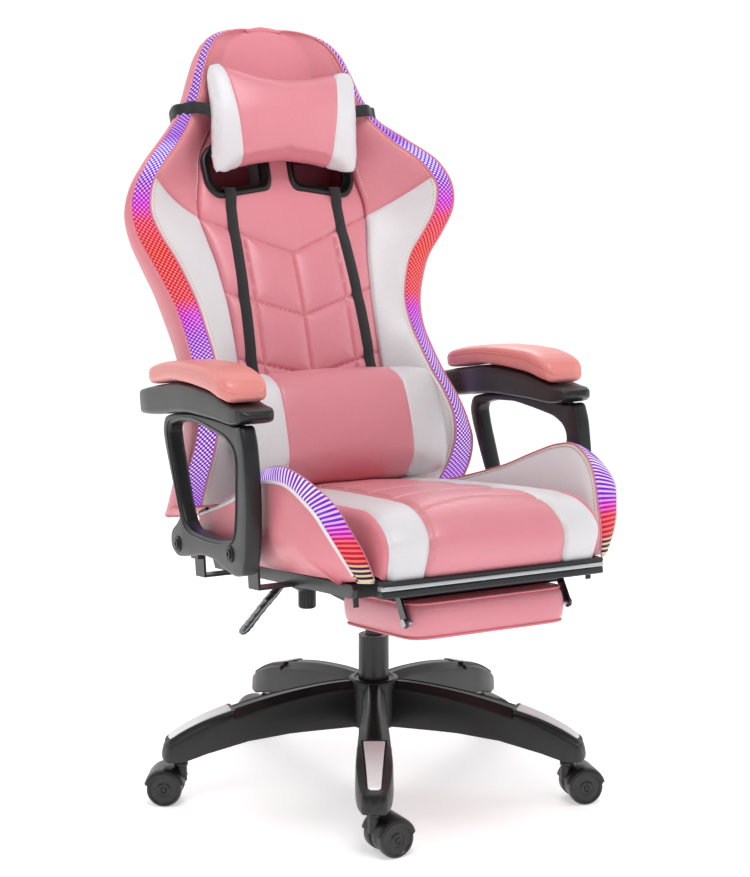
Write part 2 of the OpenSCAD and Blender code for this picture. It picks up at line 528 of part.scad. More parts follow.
star_base();
base_inlays();
column_tube();
column_bush();
thrust_bearing();
caster_stems();
caster_hood_1();
caster_hood_2();
caster_hood_3();
caster_hood_4();
caster_hood_5();
caster_wheels_1();
caster_wheels_2();
caster_wheels_3();
caster_wheels_4();
caster_wheels_5();
piston_rod();
pressure_tube();
tilt_housing();
tilt_pin();
torsion_spring();
tension_knob();
height_lever();
lever_pin();
valve_pin();
mount_plate();
seat_frame();
seat_straps();
seat_cushion();
seat_bolsters();
seat_light_strips();
arm_brackets();
arm_loop_left();
arm_loop_right();
arm_beams();
arm_pads();
arm_bolts();
hinge_plates();
recline_pins();
recline_springs();
recline_lever();
back_brackets();
back_frame();
back_shell();
back_cushion();
back_bolsters();
belt_bezels();
back_light_strips();
lumbar_pillow();
lumbar_belts();
head_pillow();
head_strap();
footrest_guides();
footrest_rails();
footrest_pins();
footrest_pad();
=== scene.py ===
import bpy, bmesh, math
import numpy as np
from mathutils import Vector, Matrix

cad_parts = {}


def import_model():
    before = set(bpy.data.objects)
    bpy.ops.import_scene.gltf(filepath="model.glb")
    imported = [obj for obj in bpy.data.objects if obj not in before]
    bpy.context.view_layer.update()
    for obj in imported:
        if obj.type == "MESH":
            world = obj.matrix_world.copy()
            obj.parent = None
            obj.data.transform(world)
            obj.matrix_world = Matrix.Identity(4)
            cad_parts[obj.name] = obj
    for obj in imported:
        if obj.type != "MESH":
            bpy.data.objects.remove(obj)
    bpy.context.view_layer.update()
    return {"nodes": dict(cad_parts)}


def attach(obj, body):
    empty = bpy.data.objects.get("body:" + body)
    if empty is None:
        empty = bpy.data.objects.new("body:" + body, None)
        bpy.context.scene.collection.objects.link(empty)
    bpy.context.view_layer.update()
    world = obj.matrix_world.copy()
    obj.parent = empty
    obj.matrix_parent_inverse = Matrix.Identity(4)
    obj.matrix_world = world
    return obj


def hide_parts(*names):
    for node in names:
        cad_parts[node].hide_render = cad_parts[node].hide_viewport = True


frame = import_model()
scene = bpy.context.scene
PI = math.pi

# ------------------------------------------------------------------ frames
C7, S7 = math.cos(math.radians(7)), math.sin(math.radians(7))
C21, S21 = math.cos(math.radians(21)), math.sin(math.radians(21))


def seat(P):
    """[x, v, w] in mm, in the sloped seat, to the row frame in metres"""
    P = np.asarray(P, float)
    return np.stack([P[..., 0], P[..., 1] * C7 + P[..., 2] * S7, 367 - P[..., 1] * S7 + P[..., 2] * C7], -1) / 1000


def back(P):
    """[x, p, s] in mm, in the leaning back, to the row frame in metres"""
    P = np.asarray(P, float)
    return np.stack([P[..., 0], 207 + P[..., 1] * C21 + P[..., 2] * S21, 412 - P[..., 1] * S21 + P[..., 2] * C21], -1) / 1000


def world(P):
    return np.asarray(P, float) / 1000


def curve(xs, ys, at):
    """smooth curve through a table; ys may have several columns"""
    xs, ys, at = np.asarray(xs, float), np.asarray(ys, float), np.asarray(at, float)
    one = ys.ndim == 1
    if one:
        ys = ys[:, None]
    h = np.diff(xs)
    d = np.diff(ys, axis=0) / h[:, None]
    m = np.zeros_like(ys)
    m[1:-1] = (d[:-1] * h[1:, None] + d[1:] * h[:-1, None]) / (h[1:] + h[:-1])[:, None]
    m[0], m[-1] = d[0], d[-1]
    a = np.clip(at, xs[0], xs[-1])
    i = np.clip(np.searchsorted(xs, a, side="right") - 1, 0, len(xs) - 2)
    t = ((a - xs[i]) / h[i])[..., None]
    hi = h[i][..., None]
    out = (2 * t**3 - 3 * t**2 + 1) * ys[i] + (t**3 - 2 * t**2 + t) * hi * m[i] + (3 * t**2 - 2 * t**3) * ys[i + 1] + (t**3 - t**2) * hi * m[i + 1]
    return out[..., 0] if one else out


def lin(xs, ys, at):
    return np.interp(at, xs, ys)


# ------------------------------------------------------------------ materials
def lin_rgb(c):
    return tuple(((v / 255) / 12.92 if v / 255 <= 0.04045 else ((v / 255 + 0.055) / 1.055) ** 2.4) for v in c) + (1.0,)


class Tree:
    def __init__(self, name):
        self.m = bpy.data.materials.new(name)
        self.m.use_nodes = True
        self.t = self.m.node_tree
        self.b = self.t.nodes["Principled BSDF"]

    def n(self, kind, **kw):
        node = self.t.nodes.new(kind)
        for k, v in kw.items():
            if k.startswith("i_"):
                node.inputs[k[2:].replace("_", " ")].default_value = v
            else:
                setattr(node, k, v)
        return node

    def link(self, a, b):
        self.t.links.new(a, b)

    def coords(self, scale=(1, 1, 1)):
        c = self.n("ShaderNodeTexCoord")
        mp = self.n("ShaderNodeMapping")
        mp.inputs["Scale"].default_value = scale
        self.link(c.outputs["Object"], mp.inputs["Vector"])
        return mp.outputs["Vector"]

    def noise(self, vec, scale, detail=3, rough=0.55):
        n = self.n("ShaderNodeTexNoise", i_Scale=scale, i_Detail=detail, i_Roughness=rough)
        self.link(vec, n.inputs["Vector"])
        return n.outputs["Fac"]

    def math(self, op, a, b=None, clamp=False):
        n = self.n("ShaderNodeMath", operation=op, use_clamp=clamp)
        for i, v in enumerate([a, b]):
            if v is None:
                continue
            if isinstance(v, (int, float)):
                n.inputs[i].default_value = v
            else:
                self.link(v, n.inputs[i])
        return n.outputs[0]

    def ramp(self, fac, stops, interp="LINEAR"):
        n = self.n("ShaderNodeValToRGB")
        n.color_ramp.interpolation = interp
        e = n.color_ramp.elements
        while len(e) > 1:
            e.remove(e[-1])
        e[0].position, e[0].color = stops[0]
        for p, c in stops[1:]:
            x = e.new(p)
            x.color = c
        self.link(fac, n.inputs["Fac"])
        return n.outputs["Color"]

    def mix(self, fac, a, b, mode="MIX"):
        n = self.n("ShaderNodeMix", data_type="RGBA", blend_type=mode)
        for i, v in zip((0, 6, 7), (fac, a, b)):
            if isinstance(v, (int, float, tuple)):
                n.inputs[i].default_value = v
            else:
                self.link(v, n.inputs[i])
        return n.outputs[2]

    def bump(self, height, strength, dist, normal=None):
        n = self.n("ShaderNodeBump", i_Strength=strength, i_Distance=dist)
        self.link(height, n.inputs["Height"])
        if normal is not None:
            self.link(normal, n.inputs["Normal"])
        self.link(n.outputs["Normal"], self.b.inputs["Normal"])
        return n.outputs["Normal"]

    def put(self, **kw):
        for k, v in kw.items():
            s = self.b.inputs[k.replace("_", " ")]
            if isinstance(v, (int, float, tuple)):
                s.default_value = v
            else:
                self.link(v, s)
        return self.m


def leather(name, rgb, deep, rough=0.4, coat=0.12, grain=1.0):
    """PU leather: pebble grain, soft tone drift, and painted shade that darkens the grain's valleys"""
    t = Tree(name)
    v = t.coords()
    cells = t.n("ShaderNodeTexVoronoi", feature="SMOOTH_F1", i_Scale=520.0, i_Smoothness=0.6)
    warp = t.n("ShaderNodeTexNoise", i_Scale=180.0, i_Detail=2.0)
    t.link(v, warp.inputs["Vector"])
    wv = t.n("ShaderNodeVectorMath", operation="MULTIPLY_ADD")
    t.link(warp.outputs["Color"], wv.inputs[0])
    wv.inputs[1].default_value = (0.0016, 0.0016, 0.0016)
    t.link(v, wv.inputs[2])
    t.link(wv.outputs[0], cells.inputs["Vector"])
    fine = t.noise(v, 1500.0, 2)
    drift = t.noise(v, 7.0, 3)
    mid = t.noise(v, 55.0, 4)
    h = t.math("ADD", t.math("MULTIPLY", cells.outputs["Distance"], 1.0), t.math("MULTIPLY", fine, 0.25))
    base = t.mix(t.math("MULTIPLY", drift, 0.55), lin_rgb(rgb), lin_rgb(deep))
    # painted shade: the colour is pulled towards the deep tone along the grain's valleys
    base = t.mix(t.math("MULTIPLY", t.math("SUBTRACT", cells.outputs["Distance"], 0.25, True), 0.22 * grain), base, lin_rgb(deep))
    t.put(Base_Color=base, Roughness=t.math("ADD", t.math("MULTIPLY", mid, 0.16), rough - 0.08))
    t.b.inputs["Coat Weight"].default_value = coat
    t.b.inputs["Coat Roughness"].default_value = 0.38
    t.b.inputs["Specular IOR Level"].default_value = 0.42
    first = t.n("ShaderNodeBump", i_Strength=0.18, i_Distance=0.004)
    t.link(t.noise(v, 24.0, 3), first.inputs["Height"])
    t.bump(h, 0.34 * grain, 0.0009, first.outputs["Normal"])
    return t.m


def nylon(name, rgb, rough=0.42, spark=0.35, scale=700.0):
    """moulded nylon: fine spark-eroded texture and a faint flow mottling"""
    t = Tree(name)
    v = t.coords()
    grain = t.noise(v, scale, 4, 0.6)
    flow = t.noise(v, 18.0, 3)
    c0 = lin_rgb(rgb)
    c1 = tuple(min(1, x * 1.5 + 0.004) for x in c0[:3]) + (1,)
    t.put(Base_Color=t.mix(t.math("MULTIPLY", flow, 0.6), c0, c1), Roughness=t.math("ADD", t.math("MULTIPLY", flow, 0.14), rough - 0.07))
    t.b.inputs["Specular IOR Level"].default_value = 0.5
    t.bump(grain, spark, 0.0004)
    return t.m


def metal(name, rgb, rough, brushed=(1, 1, 60), metallic=1.0, coat=0.0):
    t = Tree(name)
    v = t.coords(brushed)
    g = t.noise(v, 60.0, 3)
    sm = t.noise(t.coords(), 22.0, 3)
    c = lin_rgb(rgb)
    t.put(Base_Color=t.mix(t.math("MULTIPLY", sm, 0.35), c, tuple(x * 0.82 for x in c[:3]) + (1,)), Roughness=t.math("ADD", t.math("MULTIPLY", g, 0.14), rough - 0.05))
    t.b.inputs["Metallic"].default_value = metallic
    t.b.inputs["Coat Weight"].default_value = coat
    t.bump(g, 0.08, 0.0003)
    return t.m


def webbing(name, rgb):
    """woven strap: herringbone from two slanted waves, in UV metres"""
    t = Tree(name)
    uv = t.n("ShaderNodeUVMap", uv_map="UVMap")
    sep = t.n("ShaderNodeSeparateXYZ")
    t.link(uv.outputs[0], sep.inputs[0])
    x, y = sep.outputs[0], sep.outputs[1]
    zig = t.math("PINGPONG", x, 0.0025)
    rib = t.math("SINE", t.math("MULTIPLY", t.math("ADD", y, zig), 2 * PI / 0.0016))
    col = t.math("ABSOLUTE", t.math("SINE", t.math("MULTIPLY", x, PI / 0.0025)))
    h = t.math("ADD", t.math("MULTIPLY", rib, 0.5), col)
    fuzz = t.noise(t.coords(), 900.0, 3)
    c = lin_rgb(rgb)
    # painted light and shade: the colour is lighter on the raised threads and darker in the weave's grooves
    t.put(Base_Color=t.mix(t.math("MULTIPLY", t.math("ADD", h, fuzz), 0.4, True), tuple(v * 0.6 for v in c[:3]) + (1,), tuple(min(1, v * 1.9 + 0.003) for v in c[:3]) + (1,)), Roughness=0.72)
    t.b.inputs["Sheen Weight"].default_value = 0.25
    t.bump(h, 0.6, 0.0005)
    return t.m


def lit(name, stops, kind, strength):
    """edge-lit strip: colour follows UV y (0 at the lower end), the perforation or rib pattern is in metres in the second UV map"""
    t = Tree(name)
    uv = t.n("ShaderNodeUVMap", uv_map="UVMap")
    sep = t.n("ShaderNodeSeparateXYZ")
    t.link(uv.outputs[0], sep.inputs[0])
    uvm = t.n("ShaderNodeUVMap", uv_map="Metres")
    sm = t.n("ShaderNodeSeparateXYZ")
    t.link(uvm.outputs[0], sm.inputs[0])
    body = t.ramp(sep.outputs[1], [(p, lin_rgb(c)) for p, c, d, k in stops])
    dot = t.ramp(sep.outputs[1], [(p, lin_rgb(d)) for p, c, d, k in stops])
    x, y = sm.outputs[0], sm.outputs[1]
    if kind == "mesh":
        a = t.math("COSINE", t.math("MULTIPLY", x, PI / 0.0040))
        b = t.math("COSINE", t.math("MULTIPLY", y, PI / 0.0040))
        pat = t.math("MULTIPLY", a, b)
        pat = t.math("ADD", t.math("MULTIPLY", pat, 2.4), 0.0, True)
    else:
        wave = t.math("SINE", t.math("MULTIPLY", t.math("ADD", y, t.math("MULTIPLY", t.math("SINE", t.math("MULTIPLY", x, 90.0)), 0.0012)), 2 * PI / 0.0076))
        pat = t.math("ADD", t.math("MULTIPLY", wave, 1.3), 0.30, True)
    across = t.math("ABSOLUTE", t.math("SUBTRACT", sep.outputs[0], 0.5))
    rim = t.math("SUBTRACT", 1.0, t.math("MULTIPLY", t.math("SUBTRACT", across, 0.42, True), 6.0), True)
    c = t.mix(pat, body, dot)
    dark = tuple([0.06, 0.015, 0.22, 1.0])
    c2 = t.mix(rim, dark, c)
    t.put(Base_Color=t.mix(0.85, c2, (0.01, 0.004, 0.03, 1.0)), Emission_Color=c2, Roughness=0.4)
    t.b.inputs["Emission Strength"].default_value = strength
    t.b.inputs["Specular IOR Level"].default_value = 0.2
    t.bump(pat, 0.35, 0.0008)
    return t.m


PINK = leather("pink leather", (227, 145, 156), (210, 121, 132), rough=0.36, coat=0.3)
PINK_SIDE = leather("pink leather side", (228, 138, 148), (210, 116, 127))
# the slot lining's maroon is pink leather with painted shade in its colour
PINK_SHADE_PAINTED = leather("pink leather in painted shade", (120, 30, 48), (96, 20, 38), rough=0.5)
SALMON = leather("arm pad leather", (233, 146, 140), (218, 122, 116), rough=0.36, coat=0.18, grain=0.7)
WHITE = leather("white leather", (228, 226, 228), (206, 202, 205), rough=0.38)
CREAM = leather("white piping", (236, 233, 232), (218, 214, 212), rough=0.34, grain=0.5)
INLAY = nylon("inlay white", (236, 238, 240), rough=0.3, spark=0.06)
BLACK = nylon("black nylon", (21, 22, 23), rough=0.36)
BLACK_MATT = nylon("black moulding", (15, 16, 17), rough=0.46)
WHEEL = nylon("wheel nylon", (26, 27, 28), rough=0.34, spark=0.15)
# the silver band is a painted highlight of the glossy black front rail
SILVER_PAINTED_HIGHLIGHT = metal("silver trim", (186, 189, 192), 0.3, metallic=0.8, coat=0.3)
CHROME = metal("chrome", (225, 226, 228), 0.12)
STEEL = nylon("black coated steel", (22, 23, 25), rough=0.36, spark=0.2, scale=1200.0)
ZINC = metal("zinc steel", (172, 174, 176), 0.32)
# footrest rails: dark so that they read as shadow, painted shade in the colour
RAIL_SHADE_DARK = metal("rail steel in painted shade", (84, 86, 90), 0.28)
LEVER = metal("lever plating", (120, 122, 126), 0.2, coat=0.4)
BUSH = nylon("bush plastic", (214, 212, 204), rough=0.45, spark=0.2)
RED = nylon("valve red", (176, 30, 26), rough=0.4, spark=0.2)
WEB = webbing("black webbing", (17, 16, 18))
THREAD = nylon("gold thread", (196, 160, 96), rough=0.6, spark=0.5, scale=3000.0)
SLEEVE = nylon("slot sleeve", (104, 98, 100), rough=0.5, spark=0.3)

# ------------------------------------------------------------------ mesh helpers
FRAMES = {"seat": seat, "back": back, "world": world}


def build(name, V, F, mats, body, in_frame="world", mi=None, uv=None, uvm=None, sharp=40, replaces=(), tm=None):
    """object from local points in mm, placed in the row frame"""
    V = np.asarray(V, float).reshape(-1, 3)
    W = FRAMES[in_frame](V) if tm is None else tm(V)
    me = bpy.data.meshes.new(name)
    me.from_pydata(W.tolist(), [], [list(map(int, f)) for f in F])
    me.validate()
    o = bpy.data.objects.new(name, me)
    scene.collection.objects.link(o)
    for m in (mats if isinstance(mats, (list, tuple)) else [mats]):
        me.materials.append(m)
    if mi is not None:
        me.polygons.foreach_set("material_index", np.asarray(mi, np.int32))
    for nm, data in (("UVMap", uv), ("Metres", uvm)):
        if data is not None:
            data = np.asarray(data, float).reshape(-1, 2)
            lay = me.uv_layers.new(name=nm)
            idx = np.zeros(len(me.loops), np.int32)
            me.loops.foreach_get("vertex_index", idx)
            lay.data.foreach_set("uv", data[idx].astype(np.float32).ravel())
    me.polygons.foreach_set("use_smooth", np.ones(len(me.polygons), bool))
    if sharp:
        me.set_sharp_from_angle(angle=math.radians(sharp))
    me.update()
    if body:
        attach(o, body)
    if replaces:
        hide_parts(*replaces)
    return o


def quads(n, m, wrap=False, off=0, flip=False):
    """faces of an n by m grid of points; wrap joins the last column to the first"""
    f = []
    for i in range(n - 1):
        for j in range(m if wrap else m - 1):
            a, b = off + i * m + j, off + i * m + (j + 1) % m
            q = (a, b, b + m, a + m)
            f.append(q[::-1] if flip else q)
    return f


def orient(o):
    bm = bmesh.new()
    bm.from_mesh(o.data)
    bmesh.ops.recalc_face_normals(bm, faces=bm.faces)
    bm.to_mesh(o.data)
    bm.free()


def apply_mods(o):
    dg = bpy.context.evaluated_depsgraph_get()
    me = bpy.data.meshes.new_from_object(o.evaluated_get(dg), preserve_all_data_layers=True, depsgraph=dg)
    old = o.data
    o.modifiers.clear()
    o.data = me
    bpy.data.meshes.remove(old)


def sheet_panel(name, G, mats, body, in_frame, thick, inward, mi=None, keep=None, uv=None, uvm=None, replaces=(), sharp=50):
    """a padded panel from a grid of points (n, m, 3): its skin, and a second layer `thick` mm along `inward`, closed all round"""
    n, m = G.shape[:2]
    inner = G + np.asarray(inward, float) * thick
    F = quads(n, m)
    K = np.ones(len(F), bool) if keep is None else np.asarray(keep, bool).ravel()
    V = np.concatenate([G.reshape(-1, 3), inner.reshape(-1, 3)])
    base = n * m
    faces, idx = [], []
    from collections import Counter
    edges = {}
    for k, f in enumerate(F):
        if not K[k]:
            continue
        faces.append(f)
        idx.append(0 if mi is None else mi[k])
        for a, b in zip(f, f[1:] + f[:1]):
            edges[(a, b)] = idx[-1]
    border = [(a, b, s) for (a, b), s in edges.items() if (b, a) not in edges]
    outer_n = len(faces)
    for k in range(outer_n):
        f = faces[k]
        faces.append(tuple(base + v for v in f[::-1]))
        idx.append(idx[k])
    for a, b, s in border:
        faces.append((b, a, base + a, base + b))
        idx.append(s)
    two = lambda d: None if d is None else np.concatenate([np.asarray(d, float).reshape(-1, 2)] * 2)
    used = sorted({v for f in faces for v in f})
    remap = {v: i for i, v in enumerate(used)}
    faces = [tuple(remap[v] for v in f) for f in faces]
    sel = np.array(used)
    U = two(uv)
    UM = two(uvm)
    o = build(name, V[sel], faces, mats, body, in_frame, idx, None if U is None else U[sel], None if UM is None else UM[sel], sharp, replaces)
    orient(o)
    return o


def tube(path, r, sides=8, closed=False, flat=None, up=None):
    """points and faces of a tube along path; r may be one per point"""
    P = np.asarray(path, float)
    n = len(P)
    r = np.full(n, r) if np.isscalar(r) else np.asarray(r, float)
    T = np.gradient(P, axis=0)
    if closed:
        T = np.roll(P, -1, 0) - np.roll(P, 1, 0)
    T /= np.linalg.norm(T, axis=1)[:, None] + 1e-12
    ref = np.array([0, 0, 1.0]) if up is None else np.asarray(up, float)
    if abs(T[0] @ ref) > 0.9:
        ref = np.array([1.0, 0, 0])
    N = np.zeros_like(P)
    N[0] = np.cross(T[0], np.cross(ref, T[0]))
    N[0] /= np.linalg.norm(N[0])
    for i in range(1, n):
        v = N[i - 1] - T[i] * (N[i - 1] @ T[i])
        N[i] = v / (np.linalg.norm(v) + 1e-12)
    B = np.cross(T, N)
    a = np.arange(sides) * 2 * PI / sides
    ring = np.cos(a)[None, :, None] * N[:, None] + np.sin(a)[None, :, None] * B[:, None]
    V = (P[:, None] + ring * r[:, None, None]).reshape(-1, 3)
    F = quads(n, sides, wrap=True)
    if closed:
        F += [((n - 1) * sides + j, (n - 1) * sides + (j + 1) % sides, (j + 1) % sides, j) for j in range(sides)]
    else:
        F += [tuple(range(sides))[::-1], tuple((n - 1) * sides + j for j in range(sides))]
    return V, F


def joined(parts):
    V, F, o = [], [], 0
    for v, f in parts:
        V.append(np.asarray(v, float).reshape(-1, 3))
        F += [tuple(i + o for i in q) for q in f]
        o += len(V[-1])
    return np.concatenate(V), F


def resample(P, step):
    P = np.asarray(P, float)
    d = np.concatenate([[0], np.cumsum(np.linalg.norm(np.diff(P, axis=0), axis=1))])
    k = max(3, int(d[-1] / step) + 1)
    t = np.linspace(0, d[-1], k)
    return np.stack([np.interp(t, d, P[:, i]) for i in range(3)], 1)


def stitches(path, pitch=6.0, length=4.0, r=0.55, lift=(0, 0, 0)):
    """a run of sewn stitches along a line of points in mm"""
    P = resample(path, 1.0)
    d = np.concatenate([[0], np.cumsum(np.linalg.norm(np.diff(P, axis=0), axis=1))])
    out = []
    at = 2.0
    while at + length < d[-1]:
        t = at + np.array([0, 0.25, 0.5, 0.75, 1.0]) * length
        q = np.stack([np.interp(t, d, P[:, i]) for i in range(3)], 1) + np.asarray(lift, float)
        out.append(tube(q, r * np.array([0.45, 0.95, 1.1, 0.95, 0.45]), 5))
        at += pitch
    return joined(out)


def lathe(profile, sides=64, closed=True):
    """[r, z] profile about Z"""
    pr = np.asarray(profile, float)
    a = np.arange(sides) * 2 * PI / sides
    V = np.stack([pr[:, None, 0] * np.cos(a), pr[:, None, 0] * np.sin(a), np.repeat(pr[:, 1:2], sides, 1)], -1).reshape(-1, 3)
    F = quads(len(pr), sides, wrap=True)
    return V, F


def rot(axis, deg):
    return np.array(Matrix.Rotation(math.radians(deg), 3, axis))


# ------------------------------------------------------------------ the back
BACK = np.array([
    [32, 225, -20, 270, -30, 80, 60, 150, -32], [65, 229, -75, 269, -79, 85, 66, 150, -50], [95, 227, -114, 264, -107, 92, 68, 145, -55],
    [130, 221, -136, 253, -121, 98, 66, 140, -58], [175, 211, -137, 242, -118, 92, 62, 138, -58], [220, 202, -122, 233, -103, 85, 56, 136, -60],
    [270, 195, -106, 228, -85, 80, 50, 136, -62], [320, 194, -86, 227, -68, 80, 46, 136, -64], [370, 198, -74, 234, -60, 80, 43, 138, -64],
    [410, 209, -72, 247, -59, 70, 41, 142, -62], [455, 228, -76, 268, -64, 60, 38, 147, -58], [490, 253, -91, 291, -84, 50, 35, 154, -54],
    [525, 271, -111, 305, -111, 45, 32, 160, -50], [560, 270, -132, 300, -131, 40, 27, 160, -48], [600, 245, -137, 275, -140, 42, 20, 152, -47],
    [650, 202, -118, 232, -118, 46, 8, 142, -48], [700, 168, -104, 190, -92, 50, -4, 115, -55], [740, 150, -105, 166, -93, 55, -12, 100, -62],
    [785, 135, -106, 148, -98, 55, -20, 90, -70], [825, 116, -108, 129, -99, 50, -28, 78, -76], [848, 97, -102, 109, -94, 46, -35, 66, -79],
    [862, 72, -96, 82, -89, 40, -42, 50, -81], [870, 44, -88, 52, -83, 30, -51, 32, -80], [875, 14, -77, 18, -75, 13, -62, 10, -74]], float)


def st(s):
    """xi pi xo po depth rear xc pc at height s"""
    return np.moveaxis(curve(BACK[:, 0], BACK[:, 1:], s), -1, 0)


V_SEAMS = [(462, 70 / 162), (344, 48 / 138), (237, 37 / 136), (130, 30 / 136)]


def quilt(x, s, xc):
    """distance to the nearest sewn channel of the centre panel, in mm"""
    ax = np.abs(x)
    d = np.full(np.shape(x), 1e3)
    for s0, k in V_SEAMS:
        d = np.minimum(d, np.abs(s - s0 - k * ax) / math.hypot(1, k))
    top = V_SEAMS[0][0] + V_SEAMS[0][1] * ax
    over = np.maximum(0, s - top)
    for x0 in (0.0, 87.0):
        d = np.minimum(d, np.hypot(ax - x0, over))
    return d


def panel_p(x, s):
    xi, pi_, xo, po, dep, rear, xc, pc = st(s)
    d = quilt(x, s, xc)
    e = np.maximum(xc - np.abs(x), 0)
    hd = np.clip((800 - s) / 60, 0, 1)
    puff = (6.4 * (1 - np.exp(-(d / 13.0) ** 1.1)) * (1 - np.exp(-e / 9.0)) + 1.6 * (1 - np.exp(-e / 6.0))) * hd + 4.5 * (1 - hd)
    sink = (3.0 * np.exp(-(d / 2.0) ** 2) + 2.6 * np.exp(-(e / 2.6) ** 2)) * hd
    fade = np.clip((870 - s) / 30, 0, 1)
    crown = 2.0 * (1 - (np.abs(x) / np.maximum(xc, 1)) ** 2) * hd
    return pc + (2.5 - puff + sink - crown) * fade


SLOT_OUT = np.array([[27, 583], [123, 568], [140, 590], [143, 640], [124, 662], [20, 662], [20, 600]], float)
SLOT_IN = np.array([[37, 592], [117, 579], [129, 596], [131, 636], [118, 652], [30, 652], [30, 604]], float)


def rounded(poly, r, n=96):
    """closed outline with rounded corners, sampled at n even angles about its middle"""
    P = np.asarray(poly, float)
    pts = []
    m = len(P)
    for i in range(m):
        a, b, c = P[i - 1], P[i], P[(i + 1) % m]
        u, v = (a - b) / np.linalg.norm(a - b), (c - b) / np.linalg.norm(c - b)
        k = min(r, 0.45 * np.linalg.norm(a - b), 0.45 * np.linalg.norm(c - b))
        for t in np.linspace(0, 1, 9):
            pts.append((1 - t) ** 2 * (b + u * k) + 2 * t * (1 - t) * b + t * t * (b + v * k))
    pts = np.array(pts)
    nxt = np.roll(pts, -1, 0)
    pts = np.concatenate([pts + (nxt - pts) * t for t in np.linspace(0, 0.95, 20)])
    mid = SLOT_OUT.mean(0)
    ang = np.arctan2(pts[:, 1] - mid[1], pts[:, 0] - mid[0])
    rad = np.linalg.norm(pts - mid, axis=1)
    o = np.argsort(ang)
    ang, rad = ang[o], rad[o]
    at = ang[0] + np.arange(n) * 2 * PI / n
    A = np.concatenate([ang - 2 * PI, ang, ang + 2 * PI])
    R_ = np.concatenate([rad, rad, rad])
    rr = np.interp(at, A, R_)
    return mid + np.stack([np.cos(at), np.sin(at)], 1) * rr[:, None]


def inside(poly, x, s, grow):
    """inside the convex slot outline, grown (or shrunk, if negative) by grow mm; either side of the chair"""
    P = poly
    ok = np.ones(np.shape(x), bool)
    ax = np.abs(x)
    mid = P.mean(0)
    for i in range(len(P)):
        a, b = P[i], P[(i + 1) % len(P)]
        nrm = np.array([b[1] - a[1], a[0] - b[0]])
        nrm /= np.linalg.norm(nrm)
        if (mid - a) @ nrm > 0:
            nrm = -nrm
        ok &= ((ax - a[0]) * nrm[0] + (s - a[1]) * nrm[1]) < grow
    return ok


# centre panel
S = np.concatenate([np.linspace(33, 838, 290), np.linspace(841, 875, 18)])
U = np.linspace(-1, 1, 113)
xi, pi_, xo, po, dep, rear, xc, pc = st(S)
X = U[None, :] * xc[:, None]
SS = np.repeat(S[:, None], len(U), 1)
P = panel_p(X, SS)
G = np.stack([X, P, SS], -1)
mx, ms = (X[:-1, :-1] + X[1:, 1:]) / 2, (SS[:-1, :-1] + SS[1:, 1:]) / 2
o = sheet_panel("back_centre_panel", G, PINK, "back", "back", 9, (0, 1, 0), keep=~inside(SLOT_OUT, mx, ms, -0.5), replaces=("back_cushion",))

# wings: white below the slanted seam, pink above it
S0 = np.concatenate([np.linspace(33, 531, 150), [532], np.linspace(533.5, 838, 96), np.linspace(841, 875, 18)])
K = 44 * np.exp(-((S0 - 532) / 150) ** 2) * np.clip((S0 - 33) / 120, 0, 1) * np.clip((838 - S0) / 150, 0, 1)
UW = np.concatenate([np.linspace(0, 0.12, 7), np.linspace(0.15, 0.85, 18), np.linspace(0.88, 1, 8)])


def wing_grid():
    s = S0[:, None] + K[:, None] * UW[None, :]
    xi, pi_, xo, po, dep, rear, xc, pc = st(s)
    u = UW[None, :]
    x = xc + (xi - xc) * u
    base = pc + (pi_ - pc) * u**1.28
    chord = np.hypot(xi - xc, pi_ - pc)
    d0, d1 = u * chord, (1 - u) * chord
    dd = np.abs(S0[:, None] - 532) * 0.93
    puff = 6.5 * (1 - np.exp(-d0 / 9)) * (1 - np.exp(-d1 / 8)) * (1 - 0.75 * np.exp(-dd / 9))
    sink = 3.0 * np.exp(-(d0 / 2.4) ** 2) + 1.8 * np.exp(-(d1 / 2.0) ** 2) + 1.5 * np.exp(-(dd / 2.0) ** 2)
    hd = np.clip((800 - s) / 60, 0, 1)
    puff = puff * hd + (4.5 * (1 - np.clip(u, 0, 1) ** 3) - 1.5) * (1 - hd)
    sink = (sink - 1.8 * np.exp(-(d1 / 2.0) ** 2)) * hd + 1.8 * np.exp(-(d1 / 2.0) ** 2)
    base = base * 1.0
    fade = np.clip((870 - s) / 30, 0, 1)
    # push along the wing's own normal, towards the sitter
    nx, npp = -(pi_ - pc), (xi - xc)
    L = np.hypot(nx, npp) + 1e-9
    nx, npp = nx / L, npp / L
    nx, npp = -nx, -npp
    amt = (puff - sink) * fade
    return np.stack([x + nx * amt, base + npp * amt, s], -1), np.stack([nx + 0 * s, npp + 0 * s, 0 * s], -1)


GW, NW = wing_grid()
mi = (np.repeat(((S0[:-1] + S0[1:]) / 2 > 532)[:, None], len(UW) - 1, 1)).astype(int).ravel()
mx, ms = (GW[:-1, :-1, 0] + GW[1:, 1:, 0]) / 2, (GW[:-1, :-1, 2] + GW[1:, 1:, 2]) / 2
for side, nm in ((1, "right"), (-1, "left")):
    g = GW * [side, 1, 1]
    o = sheet_panel(f"back_bolster_{nm}", g, [WHITE, PINK], "back", "back", 7, (0, 1, 0), mi=mi, keep=~inside(SLOT_OUT, mx, ms, -0.5), replaces=("back_bolsters",))

for side, nm in ((1, "right"), (-1, "left")):
    sp = np.linspace(560, 690, 70)
    q_ = st(sp)
    tx = q_[6] + 5.5
    tu = 5.5 / np.maximum(q_[0] - q_[6], 12)
    tp = q_[7] + (q_[1] - q_[7]) * tu ** 1.28 - 6.3
    V, F = stitches(np.stack([side * tx, tp, sp], -1), 6.0, 4.4, 0.6)
    build(f"shoulder_thread_{nm}", V, F, CREAM, "back", "back")

